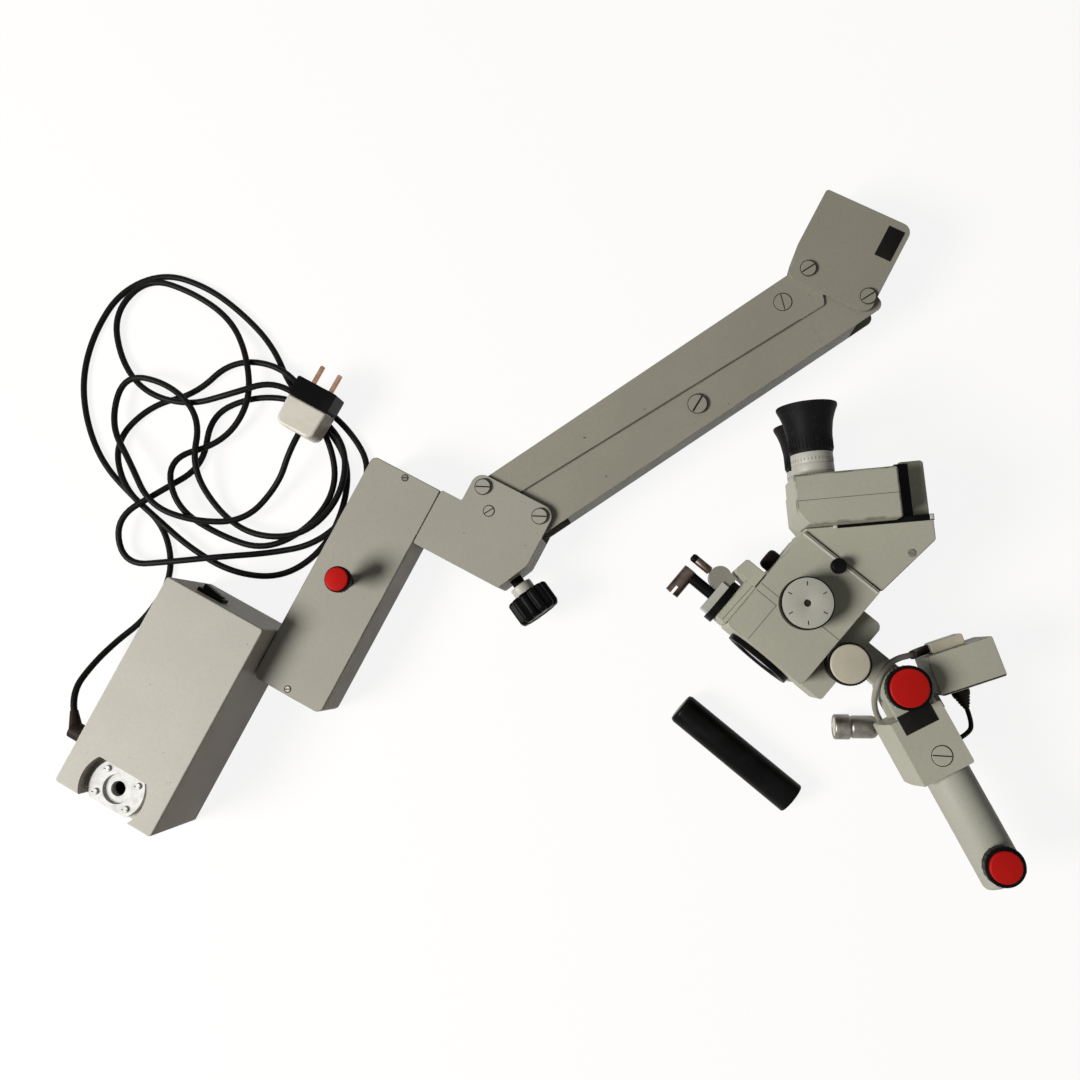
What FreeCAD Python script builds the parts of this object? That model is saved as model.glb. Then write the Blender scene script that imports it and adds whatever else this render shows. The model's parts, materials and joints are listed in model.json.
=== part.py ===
import FreeCAD, Part
import math
import os
from FreeCAD import Placement, Rotation, Vector

# Surgical microscope, lying in its separate groups as it is stored: the power box with its
# swivel arm and spring-balanced parallelogram arm, the microscope head on its tube arm, and a
# loose black tube. +Z is up from the surface that everything lies on. Millimetres.

# Driving sizes

SIZES = {
    # where the groups lie, and how each is turned
    "box_place_x": -312.6, "box_place_y": -152.6, "arm_turn": -28.13,
    "head_place_x": 272.0, "head_place_y": -28.8, "head_turn": -40.5, "eye_incline": 45,
    "tilt_place_x": 315.4, "tilt_place_y": -135.9, "tube_turn": -62.9, "head_height": 62,
    "loose_place_x": 184.1, "loose_place_y": -195.2, "loose_turn": -39.6,
    # power box
    "box_wide": 100, "box_long": 200, "box_tall": 90, "box_wall": 3, "box_corner": 3,
    "plate_thick": 3, "flange_inset": 18, "recess_radius": 31, "recess_deep": 16,
    "flange_radius": 25.6, "flange_thick": 8, "flange_flat": 17.5, "flange_bore": 6.5,
    "flange_gap": 1.5, "counterbore_radius": 12.8, "counterbore_deep": 3, "flange_screw_circle": 19.4,
    "switch_x": -13, "switch_height": 70, "switch_wide": 26, "switch_tall": 13,
    "switch_out": 3.5,
    "socket_y": -70, "socket_height": 42, "socket_radius": 9.5, "lead_plug_radius": 8,
    # swivel arm
    "arm_gap": 1, "arm_wide": 70, "arm_long": 224, "arm_start": 54.7, "arm_floor_gap": 7,
    "arm_tall": 51, "arm_wall": 3, "arm_corner": 6, "swivel_overhang": 20.5,
    "swivel_radius": 9, "swivel_nut_radius": 13, "swivel_nut_thick": 5, "running_fit": 0.05,
    "arm_knob_stem_radius": 5, "arm_knob_radius": 11.4, "arm_knob_tall": 35,
    # joint bracket
    "bracket_wide": 99.5, "bracket_long": 72.7, "bracket_low": 6, "bracket_tall": 53, "cheek_thick": 3,
    "bracket_step": 20.5, "fork_corner": 10.5, "fork_clear": 16,
    "pivot_x": 153.9, "pivot_rise": 20.3, "pivot_pair": 57.3, "pin_radius": 4,
    "pin_cap_radius": 7.3, "pin_cap_tall": 2, "end_foot_radius": 9.5,
    "tension_knob_radius": 20.5, "tension_knob_long": 24, "tension_stem_long": 16,
    # spring arm
    "link_long": 345, "link_turn": 61.55, "channel_gap": 0.4, "channel_sheet": 2,
    "upper_margin": 6.5, "lower_margin": 14, "parting_near": 21, "parting_far": 34.3,
    "channel_overlap": 8, "spring_radius": 9, "spring_long": 165,
    # end bracket
    "end_long": 87, "end_left": 18, "end_right": 7.5, "head_bore_radius": 8,
    "head_bore_deep": 50,
    # optical head
    "body_wide": 77, "body_long": 99, "body_deep": 84, "body_left": 40.5,
    "coupling_y": -8.3, "coupling_gap": 0.3, "dial_x": -3.3, "dial_y": -55.4,
    "dial_radius": 22.5, "dial_thick": 14, "dial_rim": 1.6, "head_half": 62,
    "objective_radius": 29.5, "objective_thick": 5, "lens_radius": 24,
    "block_out": 22.5, "block_foot": 9.5, "block_rise": 40.3, "block_reach": 53.3, "filter_rise": 69.8, "port_rise": 15.3, "port_radius": 20, "port_height": -4, "base_thick": 80, "prism_wide": 82.4, "prism_tall": 42,
    "prism_deep": 49, "prism_mid": 35.5, "seat_y": 24.5,
    "eye_x": -21, "eye_half": 33, "eye_ring_radius": 17.2, "eye_ring_long": 20,
    "cup_flare_radius": 25.2, "cup_long": 40.5, "far_shift": 6, "far_drop": 2.5, "far_inset": 10,
    # focusing and tilt
    "slide_gap": 0.3, "carrier_wide": 22, "carrier_long": 80, "carrier_top": 18,
    "carrier_low": -30, "focus_x": 53.1, "focus_rise": 37, "focus_radius": 18.2, "focus_neck": 15.5, "focus_top": 52,
    "tilt_radius": 17, "tilt_shaft_radius": 7, "lug_thick": 10, "hub_thick": 19,
    "tilt_knob_radius": 19, "tilt_cap_radius": 16.9,
    # head arm
    "housing_long": 71, "housing_wide": 44.5, "housing_deep": 47, "tube_radius": 18.6,
    "tube_wall": 2.5, "tube_end": 175, "end_knob_x": 155,
    "lamp_long": 55, "lamp_wide": 34, "lamp_deep": 42, "lamp_turn": 81.4,
    # loose tube
    "loose_long": 124, "loose_radius": 14, "loose_wall": 2,
    # cords
    "mains_diameter": 6, "lamp_cable_diameter": 5, "pigtail_diameter": 4,
}

doc = FreeCAD.newDocument("surgical_microscope")
sheet = doc.addObject("Spreadsheet::Sheet", "Sizes")
for row, (alias, value) in enumerate(SIZES.items(), start=1):
    sheet.set(f"A{row}", alias)
    sheet.set(f"B{row}", str(value))
    sheet.setAlias(f"B{row}", alias)
doc.recompute()


class Values:
    """Reads a driving size from the sheet by its name."""

    def __getattr__(self, name):
        return float(getattr(sheet, name))


v = Values()
parts = []
Z_AXIS, X_AXIS, Y_AXIS = Vector(0, 0, 1), Vector(1, 0, 0), Vector(0, 1, 0)


# Helpers for making and placing pieces

def at(x, y, z=0.0, turn=0.0):
    """A place, turned about Z by some degrees."""
    return Placement(Vector(x, y, z), Rotation(Z_AXIS, turn))


def facing(x, y, z, direction):
    """A place whose own Z looks along a direction."""
    return Placement(Vector(x, y, z), Rotation(Z_AXIS, Vector(*direction)))


def bind(piece, **formulas):
    """Tie a piece's properties to cells of the sheet."""
    for name, formula in formulas.items():
        if isinstance(formula, str):
            for alias in sorted(SIZES, key=len, reverse=True):
                formula = formula.replace("$" + alias, "Sizes." + alias)
            piece.setExpression(name, formula)
        else:
            setattr(piece, name, formula)
    return piece


def block(name, long, wide, tall, place):
    piece = bind(doc.addObject("Part::Box", name), Length=long, Width=wide, Height=tall)
    piece.Placement = place
    return piece


def cylinder(name, radius, height, place):
    piece = bind(doc.addObject("Part::Cylinder", name), Radius=radius, Height=height)
    piece.Placement = place
    return piece


def cone(name, start, end, height, place):
    piece = bind(doc.addObject("Part::Cone", name), Radius1=start, Radius2=end, Height=height)
    piece.Placement = place
    return piece


def fuse(name, *pieces):
    piece = doc.addObject("Part::MultiFuse", name)
    piece.Shapes = list(pieces)
    piece.Refine = True
    return piece


def cut(name, base, *tools):
    piece = doc.addObject("Part::Cut", name)
    piece.Base = base
    piece.Tool = tools[0] if len(tools) == 1 else fuse(name + "_tools", *tools)
    return piece


def rounded(corners):
    """Edges of a closed outline whose corners are (x, y) or (x, y, radius)."""
    count = len(corners)
    starts, ends, arcs = [], [], []
    for index, corner in enumerate(corners):
        here = Vector(corner[0], corner[1], 0)
        before = Vector(*corners[index - 1][:2], 0)
        after = Vector(*corners[(index + 1) % count][:2], 0)
        radius = corner[2] if len(corner) > 2 else 0
        if radius <= 0:
            starts.append(here)
            ends.append(here)
            arcs.append(None)
            continue
        back = (before - here).normalize()
        on = (after - here).normalize()
        half = back.getAngle(on) / 2
        reach = radius / math.tan(half)
        middle = here + (back + on).normalize() * (radius / math.sin(half))
        top = middle + (here - middle).normalize() * radius
        starts.append(here + back * reach)
        ends.append(here + on * reach)
        arcs.append(Part.Arc(here + back * reach, top, here + on * reach))
    edges = []
    for index in range(count):
        if arcs[index]:
            edges.append(arcs[index])
        following = (index + 1) % count
        if (starts[following] - ends[index]).Length > 1e-6:
            edges.append(Part.LineSegment(ends[index], starts[following]))
    return edges


def draw(body, name, curves, role="XY_Plane", offset=0.0):
    """A sketch on one of the body's own origin planes."""
    sketch = body.newObject("Sketcher::SketchObject", name)
    plane = [f for f in body.Origin.OriginFeatures if f.Role == role][0]
    sketch.AttachmentSupport = [(plane, "")]
    sketch.MapMode = "FlatFace"
    sketch.AttachmentOffset = Placement(Vector(0, 0, offset), Rotation())
    sketch.addGeometry(curves, False)
    return sketch


def plate(name, corners, low, tall, holes=()):
    """A body padded up from an outline, with round holes right through it."""
    body = doc.addObject("PartDesign::Body", name)
    sketch = draw(body, name + "_outline", rounded(corners), offset=low)
    pad = body.newObject("PartDesign::Pad", name + "_pad")
    pad.Profile = sketch
    bind(pad, Length=tall)
    sketch.Visibility = False
    if holes:
        doc.recompute()
        circles = [Part.Circle(Vector(x, y, 0), Z_AXIS, radius) for x, y, radius in holes]
        hole_sketch = draw(body, name + "_holes", circles, offset=low)
        pocket = body.newObject("PartDesign::Pocket", name + "_bores")
        pocket.Profile = hole_sketch
        pocket.Reversed = True
        bind(pocket, Length=tall)
        hole_sketch.Visibility = False
    return body


def turned(name, profile, place):
    """A body turned about its own Z axis from (radius, height) corners."""
    body = doc.addObject("PartDesign::Body", name)
    sketch = draw(body, name + "_profile", rounded(profile), role="XZ_Plane")
    spin = body.newObject("PartDesign::Revolution", name + "_turned")
    spin.Profile = sketch
    spin.ReferenceAxis = (sketch, ["V_Axis"])
    spin.Angle = 360
    sketch.Visibility = False
    body.Placement = place
    return body


def soften(name, base, radius, choose):
    """Round the edges of a piece that a rule picks."""
    doc.recompute()
    piece = doc.addObject("Part::Fillet", name)
    piece.Base = base
    edges = [(i, radius, radius) for i, e in enumerate(base.Shape.Edges, start=1) if choose(e)]
    piece.Edges = edges
    return piece


def upright(edge):
    """True for a straight edge that runs along Z."""
    if not isinstance(edge.Curve, Part.Line):
        return False
    return abs(abs(edge.Curve.Direction.z) - 1) < 1e-6


def flat_at(height):
    """A rule for edges that lie at one height."""
    def rule(edge):
        return all(abs(p.Point.z - height) < 1e-6 for p in edge.Vertexes)
    return rule


def keep(piece, label, frame):
    """Name a finished sub-part and put it in its group's frame."""
    piece.Label = label
    piece.Placement = frame.multiply(piece.Placement)
    parts.append(piece)
    return piece


# Frames of the groups, each with Z up

BOX = at(v.box_place_x, v.box_place_y, 0, v.arm_turn)
pivot_y = v.arm_start + v.arm_long + v.pivot_rise
LINK = BOX.multiply(at(v.pivot_x, pivot_y, 0, v.link_turn))
LOWER = BOX.multiply(at(v.pivot_x + v.pivot_pair, pivot_y, 0, v.link_turn))
link_rise = math.radians(v.link_turn)
END = BOX.multiply(at(v.pivot_x + v.link_long * math.cos(link_rise),
                      pivot_y + v.link_long * math.sin(link_rise)))
HEAD = at(v.head_place_x, v.head_place_y, v.head_height, v.head_turn)
EYE = HEAD.multiply(at(0, 0, 0, v.eye_incline))
TUBE = at(v.tilt_place_x, v.tilt_place_y, v.head_height, v.tube_turn)
LOOSE = at(v.loose_place_x, v.loose_place_y, 0, v.loose_turn)


# Power box: case, back plate and the flange that it hangs from

half_wide, half_long = v.box_wide / 2, v.box_long / 2
flange_y = -half_long + v.flange_inset
arm_mid = v.arm_floor_gap + v.arm_tall / 2
swivel_y = v.arm_start + v.swivel_overhang


def rounded_slot(name, radius, more, tall, low):
    """A disc round the flange, cut straight along the flange's inner side."""
    disc = cylinder(name + "_disc", radius, tall, at(0, flange_y, low))
    side = v.flange_flat + v.flange_gap + more
    band = block(name + "_band", 4 * v.recess_radius, 3 * v.recess_radius, tall,
                 at(-2 * v.recess_radius, flange_y + side - 3 * v.recess_radius, low))
    slot = doc.addObject("Part::Common", name + "_common")
    slot.Base = disc
    slot.Tool = band
    return slot


def power_case():
    outer = block("case_block", "$box_wide", "$box_long", "$box_tall - $plate_thick",
                  at(-half_wide, -half_long, v.plate_thick))
    shell = soften("case_corners", outer, v.box_corner, upright)
    rounded_top = soften("case_edges", shell, v.box_wall / 2, flat_at(v.box_tall))
    hollow = block("case_hollow", "$box_wide - 2 * $box_wall", "$box_long - 2 * $box_wall",
                   "$box_tall - $plate_thick - $box_wall",
                   at(-half_wide + v.box_wall, -half_long + v.box_wall, v.plate_thick))
    well = rounded_slot("case_well", "$recess_radius + $box_wall", v.box_wall,
                        "$recess_deep + $box_wall", v.box_tall - v.recess_deep - v.box_wall)
    hollow_left = cut("case_hollow_left", hollow, well)
    recess = rounded_slot("case_recess", "$recess_radius", 0, "$recess_deep",
                          v.box_tall - v.recess_deep)
    way = cylinder("case_way", "$flange_bore", "$box_wall",
                   at(0, flange_y, v.box_tall - v.recess_deep - v.box_wall))
    swivel_bore = cylinder("case_swivel_bore", "$swivel_radius", "$box_wall",
                           facing(half_wide - v.box_wall, swivel_y, arm_mid, (1, 0, 0)))
    socket_bore = cylinder("case_socket_bore", v.socket_radius - 2, "$box_wall",
                           facing(-half_wide, v.socket_y, v.socket_height, (1, 0, 0)))
    switch_hole = block("case_switch_hole", v.switch_wide - 4, "$box_wall", v.switch_tall - 4,
                        at(v.switch_x - v.switch_wide / 2 + 2, half_long - v.box_wall,
                           v.switch_height - v.switch_tall / 2 + 2))
    case = cut("power_case_cut", rounded_top, hollow_left, recess, way, swivel_bore,
               socket_bore, switch_hole)
    keep(case, "power_case", BOX)


def back_plate():
    corners = [(sx * half_wide, sy * half_long, v.box_corner)
               for sx, sy in ((-1, -1), (1, -1), (1, 1), (-1, 1))]
    keep(plate("back_plate_body", corners, 0, "$plate_thick"), "power_back_plate", BOX)


def mounting_flange():
    low = v.box_tall - v.recess_deep
    disc = cylinder("flange_disc", "$flange_radius", "$flange_thick", at(0, flange_y, low))
    band = block("flange_band", 4 * v.flange_radius, 2 * v.flange_flat, "$flange_thick",
                 at(-2 * v.flange_radius, flange_y - v.flange_flat, low))
    trimmed = doc.addObject("Part::Common", "flange_trimmed")
    trimmed.Base = disc
    trimmed.Tool = band
    bore = cylinder("flange_through", "$flange_bore", "$flange_thick", at(0, flange_y, low))
    sink_low = low + v.flange_thick - v.counterbore_deep
    sink = cylinder("flange_sink", "$counterbore_radius", "$counterbore_deep",
                    at(0, flange_y, sink_low))
    holes = []
    for index in range(4):
        angle = math.radians(35 + 110 * (index % 2) + 180 * (index // 2))
        holes.append(cylinder(f"flange_hole_{index}", 1.6, "$flange_thick",
                              at(v.flange_screw_circle * math.cos(angle),
                                 flange_y + v.flange_screw_circle * math.sin(angle), low)))
    keep(cut("flange_cut", trimmed, bore, sink, *holes), "mounting_flange", BOX)
    heads = []
    for index in range(4):
        angle = math.radians(35 + 110 * (index % 2) + 180 * (index // 2))
        place = at(v.flange_screw_circle * math.cos(angle),
                   flange_y + v.flange_screw_circle * math.sin(angle), low)
        shank = cylinder(f"flange_shank_{index}", 1.6, v.flange_thick, place)
        head = cylinder(f"flange_head_{index}", 2.9, 1.6,
                        place.multiply(at(0, 0, v.flange_thick)))
        heads.append(fuse(f"flange_screw_{index}", shank, head))
    group = doc.addObject("Part::Compound", "flange_screw_group")
    group.Links = heads
    keep(group, "flange_screws", BOX)


def power_inside():
    """Mains transformer: laminated core with its winding, standing on the back plate."""
    core = block("core_block", 66, 60, 56, at(-33, 20, v.plate_thick))
    window = block("core_window", 44, 60, 34, at(-22, 20, v.plate_thick + 11))
    frame_core = cut("core_frame", core, window)
    winding = block("winding_block", 43.4, 76, 33.4, at(-21.7, 12, v.plate_thick + 11.3))
    wound = soften("winding_round", winding, 5, lambda e: abs(e.Vertexes[0].Point.y
                   - e.Vertexes[-1].Point.y) > 1)
    group = doc.addObject("Part::Compound", "transformer_group")
    group.Links = [frame_core, wound]
    keep(group, "mains_transformer", BOX)


def power_switch():
    face = half_long
    outer = block("switch_outer", "$switch_wide", "$switch_out", "$switch_tall",
                  at(v.switch_x - v.switch_wide / 2, face, v.switch_height - v.switch_tall / 2))
    inner = block("switch_inner", v.switch_wide - 4, "$switch_out", v.switch_tall - 4,
                  at(v.switch_x - v.switch_wide / 2 + 2, face,
                     v.switch_height - v.switch_tall / 2 + 2))
    keep(cut("switch_frame_cut", outer, inner), "switch_frame", BOX)
    reach, half_tall = v.switch_wide / 2 - 3, v.switch_tall / 2 - 2.6
    body = doc.addObject("PartDesign::Body", "rocker_body")
    outline = [(-reach, -3), (reach, -3), (reach, v.switch_out + 1.2), (0, v.switch_out + 3),
               (-reach, v.switch_out + 4.6)]
    sketch = draw(body, "rocker_outline", rounded(outline))
    pad = body.newObject("PartDesign::Pad", "rocker_pad")
    pad.Profile = sketch
    pad.Length = 2 * half_tall
    pad.Midplane = True
    keep(body, "switch_rocker", BOX.multiply(at(v.switch_x, face, v.switch_height)))


def lead_inlet():
    """Round socket on the left wall, and the elbow plug of the mains lead in it."""
    out = BOX.multiply(facing(-half_wide, v.socket_y, v.socket_height, (-1, 0, 0)))
    inner = v.socket_radius - 2
    rim = [(inner - 1.5, -3), (inner, -3), (inner, 0), (v.socket_radius + 2, 0),
           (v.socket_radius + 2, 2, 0.8), (v.socket_radius, 4), (inner - 1.5, 4)]
    keep(turned("socket_turned", rim, Placement()), "lead_socket", out)
    start = at(-half_wide, v.socket_y, v.socket_height).multiply(facing(0, 0, 0, (-1, 0, 0)))
    barrel = cylinder("lead_plug_barrel", inner - 1.5, 31, start.multiply(at(0, 0, -3)))
    collar = cylinder("lead_plug_collar", "$lead_plug_radius", 26, start.multiply(at(0, 0, 4)))
    elbow = cone("lead_plug_relief", 6.5, v.mains_diameter / 2 + 0.6, 18.8,
                 facing(-half_wide - 26.3, -70.2, v.socket_height, (-0.6, 0.8, 0)))
    keep(fuse("lead_plug_fused", barrel, collar, elbow), "lead_plug", BOX)


# Swivel arm: channel with a cover plate, the swivel shafts and its lock knob

arm_left = half_wide + v.arm_gap
arm_right = arm_left + v.arm_wide
arm_end = v.arm_start + v.arm_long
bracket_swivel_y = arm_end - v.bracket_step - 6


def swivel_shaft(name, body_x, sign, y, frame):
    """Shaft with a flange in one wall and a nut behind the other, along X."""
    wall, nut = v.arm_wall, v.swivel_nut_thick
    low = facing(body_x, y, arm_mid, (sign, 0, 0))
    profile = [(0, 0), (v.swivel_nut_radius, 0), (v.swivel_nut_radius, nut),
               (v.swivel_radius, nut), (v.swivel_radius, nut + 2 * wall + v.arm_gap + 0.1),
               (v.swivel_nut_radius, nut + 2 * wall + v.arm_gap + 0.1),
               (v.swivel_nut_radius, 2 * nut + 2 * wall + v.arm_gap + 0.1),
               (0, 2 * nut + 2 * wall + v.arm_gap + 0.1)]
    keep(turned(name + "_turned", profile, low), name, frame)


def swivel_arm():
    low, wall = v.arm_floor_gap, v.arm_wall
    outline = [(arm_left, v.arm_start, v.arm_corner), (arm_right, v.arm_start, v.arm_corner),
               (arm_right, arm_end, 2), (arm_left, arm_end, v.arm_corner)]
    outer = plate("arm_outer", outline, low, "$arm_tall - $arm_wall")
    inner = block("arm_inner", "$arm_wide - 2 * $arm_wall", "$arm_long - 2 * $arm_wall",
                  "$arm_tall - 2 * $arm_wall", at(arm_left + wall, v.arm_start + wall, low + wall))
    radius = v.swivel_radius + v.running_fit
    box_bore = cylinder("arm_box_bore", radius, wall, facing(arm_left, swivel_y, arm_mid, (1, 0, 0)))
    far_bore = cylinder("arm_far_bore", v.swivel_radius, wall,
                        facing(arm_right - wall, bracket_swivel_y, arm_mid, (1, 0, 0)))
    keep(cut("arm_cut", outer, inner, box_bore, far_bore), "swivel_arm", BOX)
    cover = plate("arm_cover_body", outline, low + v.arm_tall - wall, "$arm_wall",
                  [(knob_x, knob_y, v.arm_knob_stem_radius + v.running_fit)])
    keep(cover, "swivel_arm_cover", BOX)


knob_x, knob_y = arm_left + v.arm_wide / 2, v.arm_start + v.arm_long / 2 + 1.5


def red_knob(label, stem, skirt, cap, tall, frame):
    """Black knob on a stem with a fluted skirt; its red cap is a piece of its own."""
    low = tall - 13
    profile = [(0, 0), (stem, 0), (stem, low), (skirt - 1, low), (skirt, low + 1),
               (skirt, tall - 3), (cap, tall - 3), (cap, tall - 5), (0, tall - 5)]
    keep(turned(label + "_turned", profile, Placement()), label, frame)
    top = [(0, tall - 5), (cap - 0.1, tall - 5), (cap - 0.1, tall, 1.5), (0, tall)]
    keep(turned(label + "_cap_turned", top, Placement()), label + "_cap", frame)


# Joint bracket: a fork for the two links, with their pins and the tension knob

bracket_left = arm_right + v.arm_gap
bracket_right = bracket_left + v.bracket_wide
cheek_top = v.bracket_low + v.bracket_tall
slot_low, slot_high = v.bracket_low + v.cheek_thick, cheek_top - v.cheek_thick
lower_x = v.pivot_x + v.pivot_pair
bracket_foot = pivot_y - v.bracket_long


def pivot_pins(label, x_places, y, foot_radius, foot_low, frame):
    pins = []
    for index, x in enumerate(x_places):
        top = cheek_top + v.pin_cap_tall
        profile = [(0, foot_low), (foot_radius, foot_low), (foot_radius, v.bracket_low),
                   (v.pin_radius, v.bracket_low), (v.pin_radius, cheek_top),
                   (v.pin_cap_radius, cheek_top), (v.pin_cap_radius, top, 0.6), (0, top)]
        pins.append(turned(f"{label}_{index}", profile, at(x, y)))
    group = doc.addObject("Part::Compound", label + "_group")
    group.Links = pins
    keep(group, label, frame)


def joint_bracket():
    outline = [(bracket_left, bracket_foot, 2), (bracket_right - 13.5, bracket_foot, 3),
               (bracket_right, bracket_foot + 29, 6),
               (bracket_right, pivot_y + v.fork_corner, v.fork_corner),
               (v.pivot_x - 11.4, pivot_y + v.fork_corner, v.fork_corner),
               (v.pivot_x - 11.4, arm_end + 1, 1.5), (bracket_left, arm_end + 1, 2)]
    solid = plate("bracket_outer", outline, v.bracket_low, "$bracket_tall",
                  [(v.pivot_x, pivot_y, v.pin_radius), (lower_x, pivot_y, v.pin_radius)])
    slot = block("bracket_slot", 2 * v.bracket_wide, v.fork_clear + 40, slot_high - slot_low,
                 at(bracket_left - v.bracket_wide / 2, pivot_y - v.fork_clear, slot_low))
    wall = v.arm_wall
    hollow = block("bracket_hollow", v.bracket_wide / 2, 44, slot_high - slot_low,
                   at(bracket_left + wall, bracket_foot + 5, slot_low))
    bore = cylinder("bracket_swivel_bore", v.swivel_radius + v.running_fit, wall,
                    facing(bracket_left, bracket_swivel_y, arm_mid, (1, 0, 0)))
    knob_bore = cylinder("bracket_knob_bore", 6 + v.running_fit, 14, knob_frame)
    keep(cut("bracket_cut", solid, slot, hollow, bore, knob_bore), "joint_bracket", BOX)
    pivot_pins("bracket_pins", (v.pivot_x, lower_x), pivot_y, 6, v.bracket_low - 2, BOX)


knob_turn = math.radians(-26)
knob_out = Vector(math.cos(knob_turn), math.sin(knob_turn), 0)
knob_frame = facing(bracket_right - 6.8 - 10 * knob_out.x, bracket_foot + 14.5 - 10 * knob_out.y,
                    arm_mid, knob_out)


def tension_knob():
    """Fluted knob that sets the spring; its shaft runs in the bracket."""
    start = 10 + v.tension_stem_long
    stem = cylinder("tension_stem", 6, start, Placement())
    collar = cylinder("tension_collar", 10, 4, at(0, 0, start - 4))
    disc = turned("tension_disc", [(0, start), (v.tension_knob_radius, start, 2),
                  (v.tension_knob_radius, start + v.tension_knob_long - 3),
                  (v.tension_knob_radius - 3, start + v.tension_knob_long),
                  (0, start + v.tension_knob_long)], Placement())
    flutes = []
    for index in range(12):
        angle = 2 * math.pi * index / 12
        reach = v.tension_knob_radius + 1.5
        flutes.append(cylinder(f"tension_flute_{index}", 3, v.tension_knob_long + 2,
                               at(reach * math.cos(angle), reach * math.sin(angle), start - 1)))
    fluted = cut("tension_fluted", disc, *flutes)
    keep(fuse("tension_all", stem, collar, fluted), "tension_knob", BOX.multiply(knob_frame))


# Spring arm: two nested channels that pivot on four pins, with the balance spring inside

def channel(name, outline, web_side, low, high, bores):
    """A folded sheet channel: two flanges joined by a web along one long edge."""
    sheet_thick = v.channel_sheet
    outer = plate(name + "_outer", outline, low, high - low,
                  [(x, 0, v.pin_radius + v.running_fit) for x in bores])
    long = v.link_long
    if web_side > 0:
        inner = block(name + "_inner", long + 60, 80, high - low - 2 * sheet_thick,
                      at(-30, v.upper_margin - sheet_thick - 80, low + sheet_thick))
        ends = [block(f"{name}_end_{i}", 40, 60, high - low - 2 * sheet_thick,
                      at(x, -40, low + sheet_thick))
                for i, x in enumerate((-28, long - 12))]
    else:
        inner = block(name + "_inner", long + 60, 80, high - low - 2 * sheet_thick,
                      at(-30, -v.lower_margin + sheet_thick, low + sheet_thick))
        ends = [block(f"{name}_end_{i}", 40, 80, high - low - 2 * sheet_thick,
                      at(x, -30, low + sheet_thick))
                for i, x in enumerate((-20, long - 20))]
    return cut(name + "_cut", outer, inner, *ends)


def spring_arm():
    long, lug = v.link_long, 8
    low, high = slot_low + v.channel_gap, slot_high - v.channel_gap
    upper = [(-lug, v.upper_margin, 5), (long + lug, v.upper_margin, 5), (long + lug, -lug, 6),
             (long - 6, -v.parting_far, 3), (2, -v.parting_near, 3), (-lug, -lug, 6)]
    keep(channel("upper_link", upper, 1, low, high, (0, long)), "upper_link", LINK)
    low += v.channel_sheet + 0.3
    high -= v.channel_sheet + 0.3
    offset = v.pivot_pair * math.sin(math.radians(v.link_turn))
    near = offset - v.parting_near + v.channel_overlap
    far = offset - v.parting_far + v.channel_overlap
    lower = [(-9, -v.lower_margin, 7), (long + 9, -v.lower_margin, 7), (long + 9, 8, 6),
             (long - 4, far, 3), (3, near, 3), (-9, 8, 6)]
    keep(channel("lower_link", lower, -1, low, high, (0, long)), "lower_link", LOWER)
    spring = []
    middle = (slot_low + slot_high) / 2
    web = v.upper_margin - v.channel_sheet
    tube = cylinder("spring_tube", "$spring_radius", "$spring_long",
                    facing(60, -7, middle, (1, 0, 0)))
    rod = cylinder("spring_rod", 3, v.spring_long + 40, facing(40, -7, middle, (1, 0, 0)))
    for x in (36, 60 + v.spring_long + 20):
        spring.append(block(f"spring_block_{x:.0f}", 10, web + 12, 16, at(x, -12, middle - 8)))
    keep(fuse("spring_all", tube, rod, *spring), "balance_spring", LINK)


def end_bracket():
    right = v.pivot_pair + v.end_right
    outline = [(-v.end_left, v.end_long - 14, 3), (right, v.end_long - 14, 9), (right, -14, 9),
               (-12, -14, 8), (-v.end_left, 16, 3)]
    solid = plate("end_outer", outline, v.bracket_low, "$bracket_tall",
                  [(0, 0, v.pin_radius), (v.pivot_pair, 0, v.pin_radius)])
    slot = block("end_slot", 2 * v.bracket_wide, 60 + v.fork_clear, slot_high - slot_low,
                 at(-v.bracket_wide / 2, -60, slot_low))
    bore = cylinder("end_bore", "$head_bore_radius", "$head_bore_deep",
                    facing(right, v.end_long - 40, arm_mid, (-1, 0, 0)))
    keep(cut("end_cut", solid, slot, bore), "end_bracket", END)
    pivot_pins("end_pins", (0, v.pivot_pair), 0, v.end_foot_radius, 0, END)


# Microscope head; heights are from its middle plane

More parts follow.
